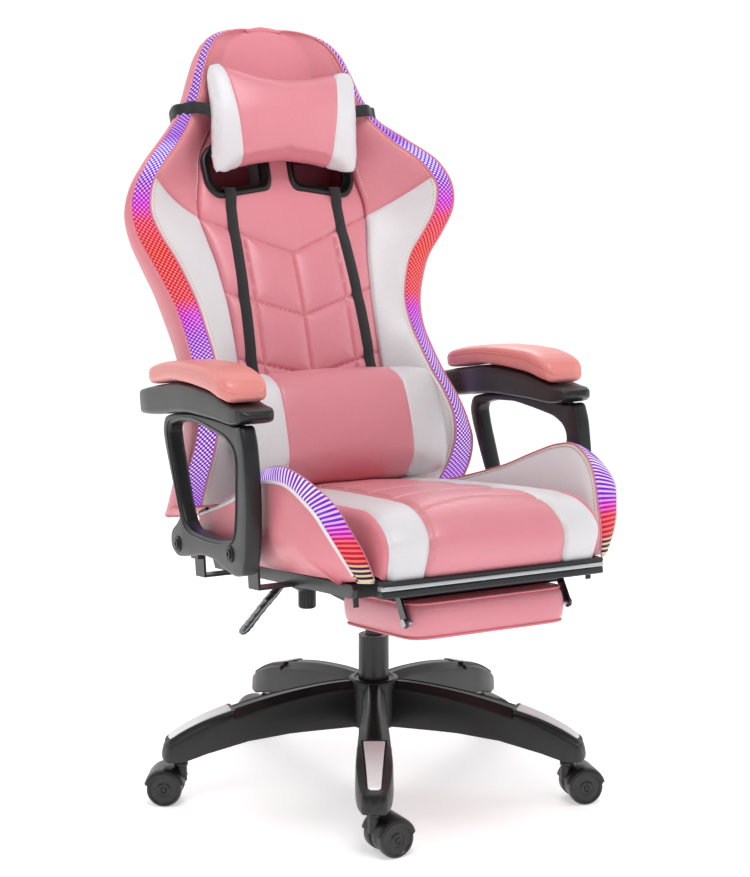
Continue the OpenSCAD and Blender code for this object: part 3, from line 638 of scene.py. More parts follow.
# light strips
LED_BACK = [  # share of the length from the lower end, body colour, dot colour
    (0.00, (122, 8, 168), (206, 160, 255), 0), (0.08, (118, 10, 172), (240, 226, 255), 0), (0.24, (122, 14, 174), (246, 236, 255), 0), (0.325, (136, 10, 174), (224, 176, 255), 0),
    (0.36, (170, 8, 176), (250, 130, 240), 0), (0.39, (206, 12, 56), (255, 140, 120), 0), (0.48, (206, 12, 26), (255, 136, 104), 0), (0.535, (210, 16, 56), (255, 140, 150), 0),
    (0.565, (176, 10, 180), (246, 130, 250), 0), (0.60, (130, 12, 178), (230, 200, 255), 0), (0.635, (120, 60, 226), (255, 252, 255), 0), (0.68, (122, 66, 228), (255, 252, 255), 0), (0.71, (120, 8, 170), (206, 170, 255), 0),
    (0.80, (110, 8, 156), (226, 200, 255), 0), (0.90, (116, 12, 166), (236, 216, 255), 0), (1.00, (118, 14, 168), (222, 196, 250), 0)]
LED_MAT = lit("light strip mesh", LED_BACK, "mesh", 0.95)
SL = np.linspace(33, 872, 330)


def strip_grid(side, s, n=11, bulge=3.4):
    xi, pi_, xo, po, dep, rear, xc, pc = st(s)
    u = np.linspace(0, 1, n)[None, :]
    a, b = np.stack([xi, pi_], -1)[:, None], np.stack([xo, po], -1)[:, None]
    chord = b - a
    nrm = np.stack([chord[..., 1], -chord[..., 0]], -1)
    nrm = nrm / (np.linalg.norm(nrm, axis=-1, keepdims=True) + 1e-9)
    q = a + chord * u[..., None] + nrm * (bulge * (4 * u * (1 - u)) ** 0.6)[..., None]
    return np.stack([side * q[..., 0], q[..., 1], np.repeat(s[:, None], n, 1)], -1), chord


for side, nm in ((1, "right"), (-1, "left")):
    g, ch = strip_grid(side, SL)
    d = np.concatenate([[0], np.cumsum(np.linalg.norm(np.diff(g[:, 5], axis=0), axis=1))])
    u = np.linspace(0, 1, g.shape[1])
    w = np.linalg.norm(ch[:, 0], axis=1)
    uv = np.stack([np.repeat(u[None], len(SL), 0), np.repeat((d / d[-1])[:, None], len(u), 1)], -1)
    uvm = np.stack([u[None] * w[:, None] / 1000, np.repeat(d[:, None] / 1000, len(u), 1)], -1)
    o = sheet_panel(f"back_light_strip_{nm}", g, LED_MAT, "back", "back", 4.0, (-0.0, 1, 0), uv=uv, uvm=uvm, replaces=("back_light_strips",))

# piping at both edges of each strip, and the gold thread beside it
for side, nm in ((1, "right"), (-1, "left")):
    sp = np.linspace(34, 873, 240)
    xi, pi_, xo, po, dep, rear, xc, pc = st(sp)
    outer = np.stack([side * (xo + 0.8), po - 0.3, sp], -1)
    inner = np.stack([side * (xi - 0.4), pi_ + 0.2, sp], -1)
    V, F = joined([tube(outer, 2.3, 8), tube(inner, 1.6, 8)])
    build(f"back_strip_piping_{nm}", V, F, PINK_SIDE, "back", "back")
    # stitch line on the wing, 6 mm in from the strip
    uu = 1 - 6.5 / np.maximum(np.hypot(xi - xc, pi_ - pc), 20)
    x = xc + (xi - xc) * uu
    p = pc + (pi_ - pc) * uu**1.28
    nx, npp = (pi_ - pc), -(xi - xc)
    L = np.hypot(nx, npp)
    line = np.stack([side * (x + nx / L * 3.4), p + npp / L * 3.4, sp], -1)
    V, F = stitches(line[4:-16], 6.0, 4.2, 0.7)
    build(f"back_thread_{nm}", V, F, THREAD, "back", "back")

# shell: the sides and the rear cover
SR = np.concatenate([np.linspace(32, 838, 206), np.linspace(841, 875, 18)])


def shell_half(s):
    xi, pi_, xo, po, dep, rear, xc, pc = st(s)
    z = np.zeros_like(s)
    pts = [(xo + 0.6, po + 0.2), (xo + 4.6, po + 0.20 * dep), (xo + 5.2, po + 0.45 * dep), (xo + 1, po + 0.78 * dep), (xo - 10, po + 1.0 * dep), (0.80 * xo, po + dep + (rear - po - dep) * 0.62), (0.6 * xo, rear - 2), (0.3 * xo, rear + 0.6), (z, rear + 1.5)]
    key = np.stack([np.stack([a + z, b + z], -1) for a, b in pts], 1)
    t = np.linspace(0, 8, 57)
    return np.moveaxis(np.array([curve(np.arange(9), key[i], t) for i in range(len(s))]), 0, 0)


H = shell_half(SR)
n = H.shape[1]
right = np.concatenate([H, np.repeat(SR[:, None, None], n, 1)], -1)
left = right[:, ::-1] * [-1, 1, 1]
ring = np.concatenate([right, left[:, 1:]], 1)
# sewn panels on the rear cover: two upright seams and one across
RX, RS = ring[..., 0], ring[..., 2]
xo_s = st(RS)[2]
rearside = np.arange(ring.shape[1])
isrear = (rearside > 30) & (rearside < ring.shape[1] - 31)
d = np.abs(np.abs(RX) - 0.56 * xo_s)
d = np.where(isrear[None, :], d, 1e3)
dx = np.where(isrear[None, :], np.abs(RS - (330 + 0.25 * np.abs(RX))), 1e3)
dx = np.where(np.abs(RX) < 0.56 * xo_s, dx, 1e3)
dm = np.minimum(d, dx)
fade = np.clip((850 - RS) / 40, 0, 1)
ring[..., 1] += np.where(isrear[None, :], (3.0 * (1 - np.exp(-dm / 10)) - 2.0 * np.exp(-(dm / 2.2) ** 2)) * fade, 0)
ring[..., 1] += 13 * np.exp(-((np.abs(RX) - 212) / 28) ** 2) * np.exp(-((RS - 84) / 36) ** 2) * (np.minimum(rearside, ring.shape[1] - 1 - rearside) > 20)[None, :]
mx, ms = (RX[:-1, :-1] + RX[1:, 1:]) / 2, (RS[:-1, :-1] + RS[1:, 1:]) / 2
onrear = np.repeat(isrear[None, :-1], len(SR) - 1, 0)
n_, m_ = ring.shape[:2]
F = quads(n_, m_)
keep = (~(inside(SLOT_OUT, mx, ms, -4.0) & onrear)).ravel()
F = [f for f, k in zip(F, keep) if k]
# close the bottom: a flat cap just inside the hem, with the front edge of the panels
bx = ring[0].copy()
front = []
sb = np.array([33.0])
xi, pi_, xo, po, dep, rear, xc, pc = [float(v[0]) for v in st(sb)]
front = [(-xi, pi_ + 3), (-xc, pc + 4), (xc, pc + 4), (xi, pi_ + 3)]
cap = np.concatenate([bx, np.array([[a, b, 34.0] for a, b in front])])
cap[:, 2] = 35.0
cap[:, 0] *= 0.995
V = np.concatenate([ring.reshape(-1, 3), cap])
o0 = n_ * m_
mid = np.array([[0, 10, 35.0]])
V = np.concatenate([V, mid])
k = len(cap)
F += [(o0 + i, o0 + (i + 1) % k, o0 + k) for i in range(k)]
F.append(tuple((n_ - 1) * m_ + j for j in range(m_)))
o = build("back_rear_cover", V, F, PINK_SIDE, "back", "back", sharp=60, replaces=("back_shell",))
sol = o.modifiers.new("s", "SOLIDIFY")
sol.thickness, sol.offset = 0.003, -1
orient(o)
apply_mods(o)

# the closing bead at the crown
bead = curve(np.arange(7), np.array([[-34, -84, 868.5], [-22, -79, 872.5], [-10, -74, 875], [0, -72.5, 875.6], [10, -74, 875], [22, -79, 872.5], [34, -84, 868.5]], float), np.linspace(0, 6, 40))
V, F = tube(bead, np.interp(np.linspace(-1, 1, 40), [-1, -0.4, 0, 0.4, 1], [2.0, 6.0, 7.5, 6.0, 2.0]), 12)
o = build("back_crown_bead", V, F, PINK_SIDE, "back", "back")
orient(o)

# hem round the lower edge of the back
hem = np.concatenate([ring[1], [[-268, -29, 34], [-225, -19, 34], [-150, -31, 34], [150, -31, 34], [225, -19, 34], [268, -29, 34]]])
hem[:, 2] = 33
V, F = tube(resample(np.concatenate([hem, hem[:1]]), 6)[:-1], 2.2, 6, closed=True)
build("back_hem", V, F, PINK_SIDE, "back", "back")

# slot bezels and linings
OUT, INN = rounded(SLOT_OUT, 16), rounded(SLOT_IN, 14)


def bezel_ring(prof, p_of):
    rings = []
    for t, dp in prof:
        q = OUT + (INN - OUT) * t
        rings.append(np.stack([q[:, 0], p_of(q[:, 0], q[:, 1]) + dp, q[:, 1]], -1))
    return np.array(rings)


def front_p(x, s):
    return st(s)[7] - 7.6


def rear_p(x, s):
    return st(s)[5] + 3


for side, nm in ((1, "right"), (-1, "left")):
    fr = bezel_ring([(0.25, 6), (-0.15, 5), (-0.32, 2.5), (-0.34, -0.5), (-0.2, -3.2), (0.05, -4.6), (0.3, -4.4), (0.42, -3.0), (0.9, 4.5), (1.02, 5.2), (1.08, 4.2), (1.18, 4.4), (1.22, 6), (1.22, 17), (0.9, 17)], front_p)
    re = bezel_ring([(0.3, -8), (-0.3, -4), (-0.36, 1), (-0.2, 3), (0.4, 3.4), (0.9, 1), (1.1, -4), (1.15, -14), (0.9, -14)], rear_p)
    parts = []
    for rr, fl in ((fr, 0), (re, 1)):
        k, m = rr.shape[:2]
        F = quads(k, m, wrap=True) + [((k - 1) * m + j, (k - 1) * m + (j + 1) % m, (j + 1) % m, j) for j in range(m)]
        parts.append((rr.reshape(-1, 3) * [side, 1, 1], F))
    V, F = joined(parts)
    o = build(f"belt_bezel_{nm}", V, F, BLACK, "back", "back", sharp=35, replaces=("belt_bezels",))
    orient(o)
    # lining: a sleeve from the front bezel to the rear one, in pink leather darkened with painted shade
    rr = []
    for t, f in ((1.0, 0.0), (1.25, 0.3), (1.55, 0.62), (1.6, 0.9), (1.0, 1.0)):
        q = OUT + (INN - OUT) * t
        p0, p1 = front_p(q[:, 0], q[:, 1]) + 12, rear_p(q[:, 0], q[:, 1]) - 10
        rr.append(np.stack([side * q[:, 0], p0 + (p1 - p0) * f, q[:, 1]], -1))
    rr = np.array(rr)
    k, m = rr.shape[:2]
    rr2 = rr.copy()
    mid = rr.mean(1, keepdims=True)
    rr2 = rr + (rr - mid) / np.linalg.norm((rr - mid)[..., [0, 2]], axis=-1)[..., None] * 2
    V = np.concatenate([rr.reshape(-1, 3), rr2[::-1].reshape(-1, 3)])
    F = quads(2 * k, m, wrap=True) + [((2 * k - 1) * m + j, (2 * k - 1) * m + (j + 1) % m, (j + 1) % m, j) for j in range(m)]
    mi = [1 if np.mean(np.abs(V[list(f), 0])) < 44 else 0 for f in F]
    o = build(f"slot_lining_{nm}", V, F, [PINK_SHADE_PAINTED, SLEEVE], "back", "back", mi)
    orient(o)
    # a flap of the painted-shade pink leather behind the slot
    fu, fs = np.linspace(0, 1, 30), np.linspace(0, 1, 22)
    g = np.zeros((22, 30, 3))
    for i_, b_ in enumerate(fs):
        s_ = 660 - 66 * b_
        x_ = 22 + (122 - 8 * b_) * fu
        pr_ = st(np.array([s_]))[5][0]
        g[i_, :, 0] = side * x_
        g[i_, :, 1] = pr_ - 15 - 9 * b_ ** 2 + 1.6 * np.sin(fu * 9) * b_
        g[i_, :, 2] = s_
    sheet_panel(f"slot_flap_{nm}", g, PINK_SHADE_PAINTED, "back", "back", 1.6, (0, 1, 0))

# ------------------------------------------------------------------ lumbar belts
def ribbon(name, path, widths, axis, thick, body, fr, mat, replaces=()):
    """flat strap along path (mm); axis is the strap's width direction"""
    P = np.asarray(path, float)
    T = np.gradient(P, axis=0)
    T /= np.linalg.norm(T, axis=1)[:, None]
    A = np.asarray(axis, float)
    if A.ndim == 1:
        A = np.repeat(A[None], len(P), 0)
    N = np.cross(T, A)
    N /= np.linalg.norm(N, axis=1)[:, None]
    prof = [(-0.5, 0.3), (-0.5, 0.8), (-0.47, 1.0), (-0.25, 1.0), (0, 1.0), (0.25, 1.0), (0.47, 1.0), (0.5, 0.8), (0.5, 0.3), (0.47, 0), (0, 0), (-0.47, 0)]
    W = np.full(len(P), widths) if np.isscalar(widths) else np.asarray(widths)
    R_ = np.array([[P[i] + A[i] * a * W[i] + N[i] * (b * thick) for a, b in prof] for i in range(len(P))])
    m = len(prof)
    F = quads(len(P), m, wrap=True) + [tuple(range(m))[::-1], tuple((len(P) - 1) * m + j for j in range(m))]
    d = np.concatenate([[0], np.cumsum(np.linalg.norm(np.diff(P, axis=0), axis=1))]) / 1000
    uv = np.array([[(a * W[i] / 1000, d[i]) for a, b in prof] for i in range(len(P))])
    o = build(name, R_.reshape(-1, 3), F, mat, body, fr, uv=uv, sharp=50, replaces=replaces)
    orient(o)
    return o


for side, nm in ((1, "right"), (-1, "left")):
    sb = np.linspace(583, 60, 120)
    xb = np.interp(sb, [60, 276, 575, 600], [112, 112, 101, 101])
    pb = np.min([panel_p(xb + dx, sb) for dx in (-9, -5, 0, 5, 9)], 0) - 0.6
    pb = np.minimum(pb, np.convolve(np.pad(pb, 3, "edge"), np.ones(7) / 7, "valid"))
    pb = pb + np.interp(sb, [548, 564, 578, 583], [0, -6.6, -6.4, -5.0])
    path = np.stack([side * xb, pb, sb], -1)
    intro = np.array([[side * 101, pb[0] + 54, 591], [side * 101, pb[0] + 32, 588], [side * 101, pb[0] + 15, 586.6], [side * 101, pb[0] + 5, 585.8], [side * 101, pb[0] + 1.4, 584.6]])
    low = np.array([[side * 112, -52, 46], [side * 112, -38, 32], [side * 112, -26, 27.5], [side * 112, 0, 27.5], [side * 112, 50, 27.5], [side * 112, 66, 31], [side * 112, 71, 45]])
    sr = np.linspace(60, 588, 70)
    rr = np.interp(sr, BACK[:, 0], BACK[:, 6]) + 6.8
    rearp = np.stack([np.full(len(sr), side * 108.0), rr, sr], -1)
    outro = np.array([[side * 106, 24, 600], [side * 104, 12, 606], [side * 102, -4, 608]])
    full = resample(np.concatenate([intro, path, low, rearp, outro]), 5.0)
    ribbon(f"lumbar_belt_{nm}", full, 20.0, (1, 0, 0), -1.8 * 1, "back", "back", WEB, ("lumbar_belts",))

# ------------------------------------------------------------------ pillows
def simulate(o, voxel, cap, pressure=4.0, frames=16):
    """inflates a closed mesh as cloth, then limits how far any point went"""
    me = o.data
    r = o.modifiers.new("r", "REMESH")
    r.mode, r.voxel_size = "VOXEL", voxel
    apply_mods(o)
    rest = np.zeros(len(o.data.vertices) * 3)
    o.data.vertices.foreach_get("co", rest)
    rest = rest.reshape(-1, 3)
    c = o.modifiers.new("c", "CLOTH")
    s = c.settings
    s.quality = 5
    s.mass = 0.3
    s.tension_stiffness = s.compression_stiffness = 18
    s.shear_stiffness = 10
    s.bending_stiffness = 1.2
    s.use_pressure, s.uniform_pressure_force = True, pressure
    s.effector_weights.gravity = 0
    c.collision_settings.use_collision = False
    c.collision_settings.use_self_collision = False
    for f in range(1, frames + 1):
        scene.frame_set(f)
    apply_mods(o)
    scene.frame_set(1)
    co = np.zeros(len(o.data.vertices) * 3)
    o.data.vertices.foreach_get("co", co)
    co = co.reshape(-1, 3)
    d = co - rest
    L = np.linalg.norm(d, axis=1)
    k = np.where(L > cap, cap / np.maximum(L, 1e-9), 1)
    co = rest + d * k[:, None]
    o.data.vertices.foreach_set("co", co.astype(np.float32).ravel())
    o.data.update()
    return rest


def local_back(o):
    co = np.zeros(len(o.data.vertices) * 3)
    o.data.vertices.foreach_get("co", co)
    co = co.reshape(-1, 3) * 1000
    y, z = co[:, 1] - 207, co[:, 2] - 412
    return np.stack([co[:, 0], y * C21 - z * S21, y * S21 + z * C21], 1)


def set_back(o, L):
    o.data.vertices.foreach_set("co", back(L).astype(np.float32).ravel())
    o.data.update()


def soften(o, rounds=1, level=1):
    m = o.modifiers.new("sm", "SMOOTH")
    m.factor, m.iterations = 0.5, rounds
    if level:
        s = o.modifiers.new("ss", "SUBSURF")
        s.levels = s.render_levels = level
    apply_mods(o)


def pillow_mesh(name, stations, nx, ring_n, bow, mats, body, replaces):
    """closed pillow from stations [x, p0, p1, s0, s1]; the rings are rounded rectangles"""
    stn = np.array(stations, float)
    x = np.sin(np.linspace(-PI / 2, PI / 2, nx)) * stn[-1, 0]
    ax = np.abs(x)
    q = curve(stn[:, 0], stn[:, 1:], ax)
    a = np.arange(ring_n) * 2 * PI / ring_n
    c, k = np.cos(a), np.sin(a)
    cc, kk = np.sign(c) * np.abs(c) ** bow, np.sign(k) * np.abs(k) ** bow
    ring = np.stack([np.repeat(x[:, None], ring_n, 1), (q[:, 0] + q[:, 1])[:, None] / 2 + (q[:, 1] - q[:, 0])[:, None] / 2 * cc, (q[:, 2] + q[:, 3])[:, None] / 2 + (q[:, 3] - q[:, 2])[:, None] / 2 * kk], -1)
    F = quads(nx, ring_n, wrap=True) + [tuple(range(ring_n))[::-1], tuple((nx - 1) * ring_n + j for j in range(ring_n))]
    o = build(name, ring.reshape(-1, 3), F, mats, body, "back", replaces=replaces, sharp=0)
    orient(o)
    return o


def paint_white_ends(o, lines):
    """cuts the pillow along each sewn line ((x, s), (x, s)), paints the outer ends white and sinks the seam"""
    bm = bmesh.new()
    bm.from_mesh(o.data)
    for (xa, sa_), (xb, sb_) in lines:
        A, B = back(np.array([xa, -120, sa_])), back(np.array([xb, -120, sb_]))
        D = back(np.array([xa, -40, sa_])) - A
        nrm = np.cross(B - A, D)
        bmesh.ops.bisect_plane(bm, geom=bm.verts[:] + bm.edges[:] + bm.faces[:], plane_co=A.tolist(), plane_no=(nrm / np.linalg.norm(nrm)).tolist(), dist=1e-6)
    bm.to_mesh(o.data)
    bm.free()
    L = local_back(o)
    es = []
    for (xa, sa_), (xb, sb_) in lines:
        xl = xa + (xb - xa) * (L[:, 2] - sa_) / (sb_ - sa_)
        es.append((L[:, 0] - xl) * math.copysign(1, xa))
    e = np.max(es, 0)
    n = np.zeros(len(L) * 3)
    o.data.vertices.foreach_get("normal", n)
    n = n.reshape(-1, 3)
    co = back(L) - n * (0.0020 * np.exp(-(e / 2.6) ** 2))[:, None]
    o.data.vertices.foreach_set("co", co.astype(np.float32).ravel())
    idx = [1 if np.mean(e[list(pl.vertices)]) > 0 else 0 for pl in o.data.polygons]
    o.data.polygons.foreach_set("material_index", idx)
    o.data.polygons.foreach_set("use_smooth", np.ones(len(idx), bool))
    o.data.update()


LUMBAR = [[0, -186, -66, 34, 230], [60, -185, -66, 34, 230], [120, -181, -68, 35, 228], [160, -174, -92, 38, 224], [182, -164, -108, 46, 214], [194, -150, -120, 72, 188]]
lum = pillow_mesh("lumbar_pillow_soft", LUMBAR, 81, 96, 0.80, [PINK, WHITE], "back", ("lumbar_pillow",))
simulate(lum, 0.0045, 0.006)
soften(lum, 2, 1)
paint_white_ends(lum, [((-119, 30), (-117, 240)), ((112, 30), (112, 240))])
HEAD = [[0, -143, -62, 626, 774], [55, -141, -64, 620, 781], [100, -135, -78, 611, 791], [126, -129, -98, 606, 794], [138, -122, -106, 612, 786], [143, -117, -111, 632, 768]]
hed = pillow_mesh("head_pillow_soft", HEAD, 81, 80, 0.72, [PINK, WHITE], "back", ("head_pillow",))
Lh = local_back(hed)
f_ = np.clip((700 - Lh[:, 2]) / 90, -1, 1)
lo_, hi_ = np.maximum(f_, 0), np.maximum(-f_, 0)
dx_ = 0.075 * (Lh[:, 2] - 700)
dp_ = 24 * lo_ * np.clip((-62 - Lh[:, 1]) / 80, 0, 1)
ds_ = -10 * lo_ - (8 + 6 * Lh[:, 0] / 140) * hi_
set_back(hed, Lh + np.stack([dx_, dp_, ds_], 1))
simulate(hed, 0.004, 0.005)
soften(hed, 2, 1)
paint_white_ends(hed, [((-88, 600), (-106, 800)), ((76, 600), (112, 800))])

# head strap
b = [float(v) for v in st(np.array([708.0]))[:, 0]]
xi, pi_, xo, po, dep, rear, xc, pc = b
half = [(116, -100), (128, -96), (xi - 22, pi_ - 4), (xi - 8, pi_ - 6.5), (xi + 4, pi_ - 7), (xo - 4, po - 5.5), (xo + 4, po - 1.5), (xo + 8.0, po + 7), (xo + 7.2, po + 0.45 * dep), (xo + 3.2, po + 0.78 * dep), (xo - 8.0, po + dep + 1.5), (0.80 * xo, po + dep + (rear - po - dep) * 0.62 + 3.6), (0.6 * xo, rear + 3.6), (0.3 * xo, rear + 5.5), (0, rear + 5.5)]
pts = np.array([(x, p, 708) for x, p in half] + [(-x, p, 708) for x, p in half[-2::-1]], float)
path = resample(curve(np.arange(len(pts)), pts, np.linspace(0, len(pts) - 1, 240)), 4)
tilt = np.array([0, 0, 1.0])
path[:, 2] += np.interp(np.abs(path[:, 0]), [0, 120, 200], [0, -2, 5])
ribbon("head_strap_band", path, 22.0, (0, 0, 1), 1.8, "back", "back", WEB, ("head_strap",))


# ------------------------------------------------------------------ the seat
PROF = np.array([[126, 60], [126, 110], [120, 121], [100, 125], [60, 128], [-20, 129.5], [-110, 129], [-200, 127.5], [-280, 125.5], [-334, 122], [-372, 112], [-398, 95], [-411, 77], [-411, 60], [-404, 42], [-396, 24]], float)
dl = np.concatenate([[0], np.cumsum(np.linalg.norm(np.diff(PROF, axis=0), axis=1))])
tt = np.linspace(0, dl[-1], 250)
PV = curve(dl, PROF, tt)
T = np.gradient(PV, axis=0)
T /= np.linalg.norm(T, axis=1)[:, None]
NV = np.stack([T[:, 1], -T[:, 0]], 1)
NV *= np.where((NV @ np.array([0, 1.0]) < 0) & (PV[:, 1] > 100), -1, 1)[:, None]
if NV[120, 1] < 0:
    NV = -NV
us_ = np.unique(np.concatenate([np.linspace(0, 0.5, 24), np.linspace(0.5, 0.86, 16), np.linspace(0.86, 1, 14)]))
us_ = np.concatenate([-us_[::-1], us_[1:]])


def seam_half(v, w):
    """where the white side stripes are sewn on"""
    return np.interp(v, [-420, -334, -20, 130], [110, 99, 74, 74]) + np.interp(w, [20, 90], [8, 0])


def edge_seam(v, w):
    """where the white stripes meet the pink side walls"""
    return np.interp(v, [-420, -380, -330, -100, 130], [174, 170, 163, 160, 160])


vv, ww = np.repeat(PV[:, :1], len(us_), 1), np.repeat(PV[:, 1:], len(us_), 1)
uu_ = np.repeat(us_[None], len(PV), 0)
hw, ew = seam_half(vv, ww), edge_seam(vv, ww)
au = np.abs(uu_)
xx = np.sign(uu_) * np.where(au <= 0.5, hw * au / 0.5, np.where(au <= 0.86, hw + (ew - hw) * (au - 0.5) / 0.36, ew + (180 - ew) * (au - 0.86) / 0.14))
e = np.minimum(np.abs(np.abs(xx) - hw), np.abs(np.abs(xx) - ew))
side_e = 180 - np.abs(xx)
R0 = 17.0
k = np.clip(side_e, 0, R0)
inset = R0 - np.sqrt(np.maximum(R0**2 - (R0 - k) ** 2, 0))
chev = np.full(xx.shape, 1e3)
for v0 in (60, -40, -140, -240, -335):
    chev = np.minimum(chev, np.abs(vv - v0 + 0.28 * np.abs(xx)) / 1.04)
chev = np.where(np.abs(xx) < hw, chev, 1e3)
puff = 4.5 * (1 - np.exp(-e / 10)) + 3.0 * (1 - np.exp(-chev / 14)) * (np.abs(xx) < hw)
sink = 3.2 * np.exp(-(e / 2.2) ** 2) + 2.2 * np.exp(-(chev / 2.0) ** 2)
crown = 7 * (1 - (np.abs(xx) / 180) ** 2.2)
amt = (puff - sink + crown - 5.5) * np.clip(side_e / 14, 0, 1) - inset
endfade = np.clip((tt[:, None]) / 25, 0, 1) * np.clip((dl[-1] - tt[:, None]) / 40, 0, 1)
amt = np.where(amt > -3, amt * endfade, amt)
G = np.stack([xx, vv + NV[:, :1] * amt, ww + NV[:, 1:] * amt], -1)
n, m = G.shape[:2]
F = quads(n, m)
mi = []
for i in range(n - 1):
    for j in range(m - 1):
        am = abs(us_[j] + us_[j + 1]) / 2
        mi.append(0 if am < 0.5 else (1 if am < 0.86 else 2))
V = G.reshape(-1, 3)
# side walls and bottom
for j in (0, m - 1):
    c = np.array([[180.0 if j else -180.0, -150, 60]])
    V = np.concatenate([V, c])
    ci = len(V) - 1
    col = [i * m + j for i in range(n)]
    for a, b in zip(col, col[1:] + col[:1]):
        F.append((a, b, ci))
        mi.append(2)
F.append(tuple([0 * m + j for j in range(m)] + [(n - 1) * m + j for j in range(m)][::-1]))
mi.append(2)
o = build("seat_cushion_soft", V, F, [PINK, WHITE, PINK_SIDE], "seat", "seat", mi, sharp=0, replaces=("seat_cushion",))
orient(o)
for side, nm in ((1, "right"), (-1, "left")):
    line = []
    for i in range(20, n - 12):
        h = hw[i, 0] - 6
        j = int(np.argmin(np.abs(xx[i] - side * h)))
        line.append(G[i, j] + np.array([0, NV[i, 0], NV[i, 1]]) * 0.5)
    line = np.array(line)
    line[:, 0] = side * (hw[20:n - 12, 0] - 6)
    V, F = stitches(line, 6.5, 4.4, 0.6)
    build(f"seat_thread_{nm}", V, F, THREAD, "seat", "seat")

BOL = [[125, [205, 125, 118], [250, 125, 98], [256, 60], 215], [50, [220, 50, 130], [256, 50, 110], [260, 62], 215], [-40, [235, -40, 148], [259, -40, 128], [261, 64], 215],
       [-120, [245, -120, 170], [262, -122, 150], [259, 66], 215], [-185, [250, -185, 184], [264, -200, 165], [261, 80], 212], [-225, [248, -240, 184], [264, -265, 162], [270, 85], 210],
       [-260, [232, -303, 157], [259, -312, 142], [268, 80], 208], [-285, [218, -335, 130], [252, -338, 122], [262, 75], 206], [-300, [208, -355, 98], [243, -352, 98], [250, 62], 205],
       [-310, [198, -375, 65], [230, -364, 68], [236, 48], 204], [-320, [188, -385, 27], [208, -370, 28], [209, 24], 203]]
BT = np.array([[b_[0], *b_[1], *b_[2], *b_[3], b_[4]] for b_ in BOL], float)
bi = np.concatenate([[0], np.cumsum(np.linalg.norm(np.diff(BT[:, 1:7], axis=0), axis=1))])
ti = np.linspace(0, bi[-1], 150)
Q = curve(bi, BT, ti)
rows = []
for q in Q:
    cv, A, B, bx_, bw, ox = q[0], q[1:4], q[4:7], q[7], q[8], q[9]
    mid1 = np.array([181 + (A[0] - 181) * 0.42, cv + (A[1] - cv) * 0.40, 22.5 + (A[2] - 22.5) * 0.42])
    mid2 = np.array([181 + (A[0] - 181) * 0.80, cv + (A[1] - cv) * 0.80, 22.5 + (A[2] - 22.5) * 0.80])
    pts = np.array([[181, cv, 22.5], mid1 + [-3, 0, 2], mid2 + [-4.5, 0, 3], A, A + (B - A) * 0.5 - [1.5, 0, 1.5], B, [(B[0] + bx_) / 2 + 1.5, (B[1] + cv) / 2, (B[2] + bw) / 2 + 2], [bx_, cv, bw], [(bx_ + ox) / 2 + 6, cv, (bw + 22.5) / 2 - 6], [ox, cv, 22.5]])
    rows.append(pts)
rows = np.array(rows)
key = [0, 1, 2, 3, 3.5, 4, 5, 6, 7, 8]
segs = [(0, 3, 26), (3, 5, 7), (5, 9, 30)]
for side, nm in ((1, "right"), (-1, "left")):
    cols, mat_of = [], []
    for a, b2, cnt in segs:
        tk = np.linspace(a, b2, cnt)
        sub = np.array([curve(np.arange(a, b2 + 1), r_[a:b2 + 1], tk) for r_ in rows])
        cols.append(sub if not cols else sub[:, 1:])
        mat_of += [len(cols) - 1] * (cnt - 1)
    g = np.concatenate(cols, 1)
    g = g * [side, 1, 1]
    n, m = g.shape[:2]
    F = quads(n, m, wrap=True)
    mi = []
    for i in range(n - 1):
        mi += [{0: 0, 1: 0, 2: 1}[c] for c in mat_of] + [1]
    F += [tuple(range(m))[::-1], tuple((n - 1) * m + j for j in range(m))]
    mi += [1, 1]
    o = build(f"seat_bolster_{nm}", g.reshape(-1, 3), F, [WHITE, PINK_SIDE], "seat", "seat", mi, sharp=70, replaces=("seat_bolsters",))
    orient(o)
    # piping along both top edges
    A = Q[:, 1:4] * [side, 1, 1] + np.array([0, 0, 0.6])
    B = Q[:, 4:7] * [side, 1, 1] + np.array([side * 0.5, 0, 0.4])
    V, F = joined([tube(B[1:-2], 2.6, 8)])
    build(f"seat_piping_{nm}", V, F, CREAM, "seat", "seat")
    V, F = joined([tube(A[1:-2], 1.5, 8)])
    build(f"seat_strip_edge_{nm}", V, F, PINK_SIDE, "seat", "seat")
    th = Q[4:-6, 1:4] * [side, 1, 1] + np.array([-side * 5.5, 0, 1.2])
    dn = rows[4:-6, 2] * [side, 1, 1]
    dirn = dn - Q[4:-6, 1:4] * [side, 1, 1]
    dirn /= np.linalg.norm(dirn, axis=1)[:, None]
    th = Q[4:-6, 1:4] * [side, 1, 1] + dirn * 6.0 + np.array([-side * 0.8, 0, 0.8])
    V, F = stitches(th, 6.0, 4.2, 0.65)
    build(f"seat_bolster_thread_{nm}", V, F, THREAD, "seat", "seat")

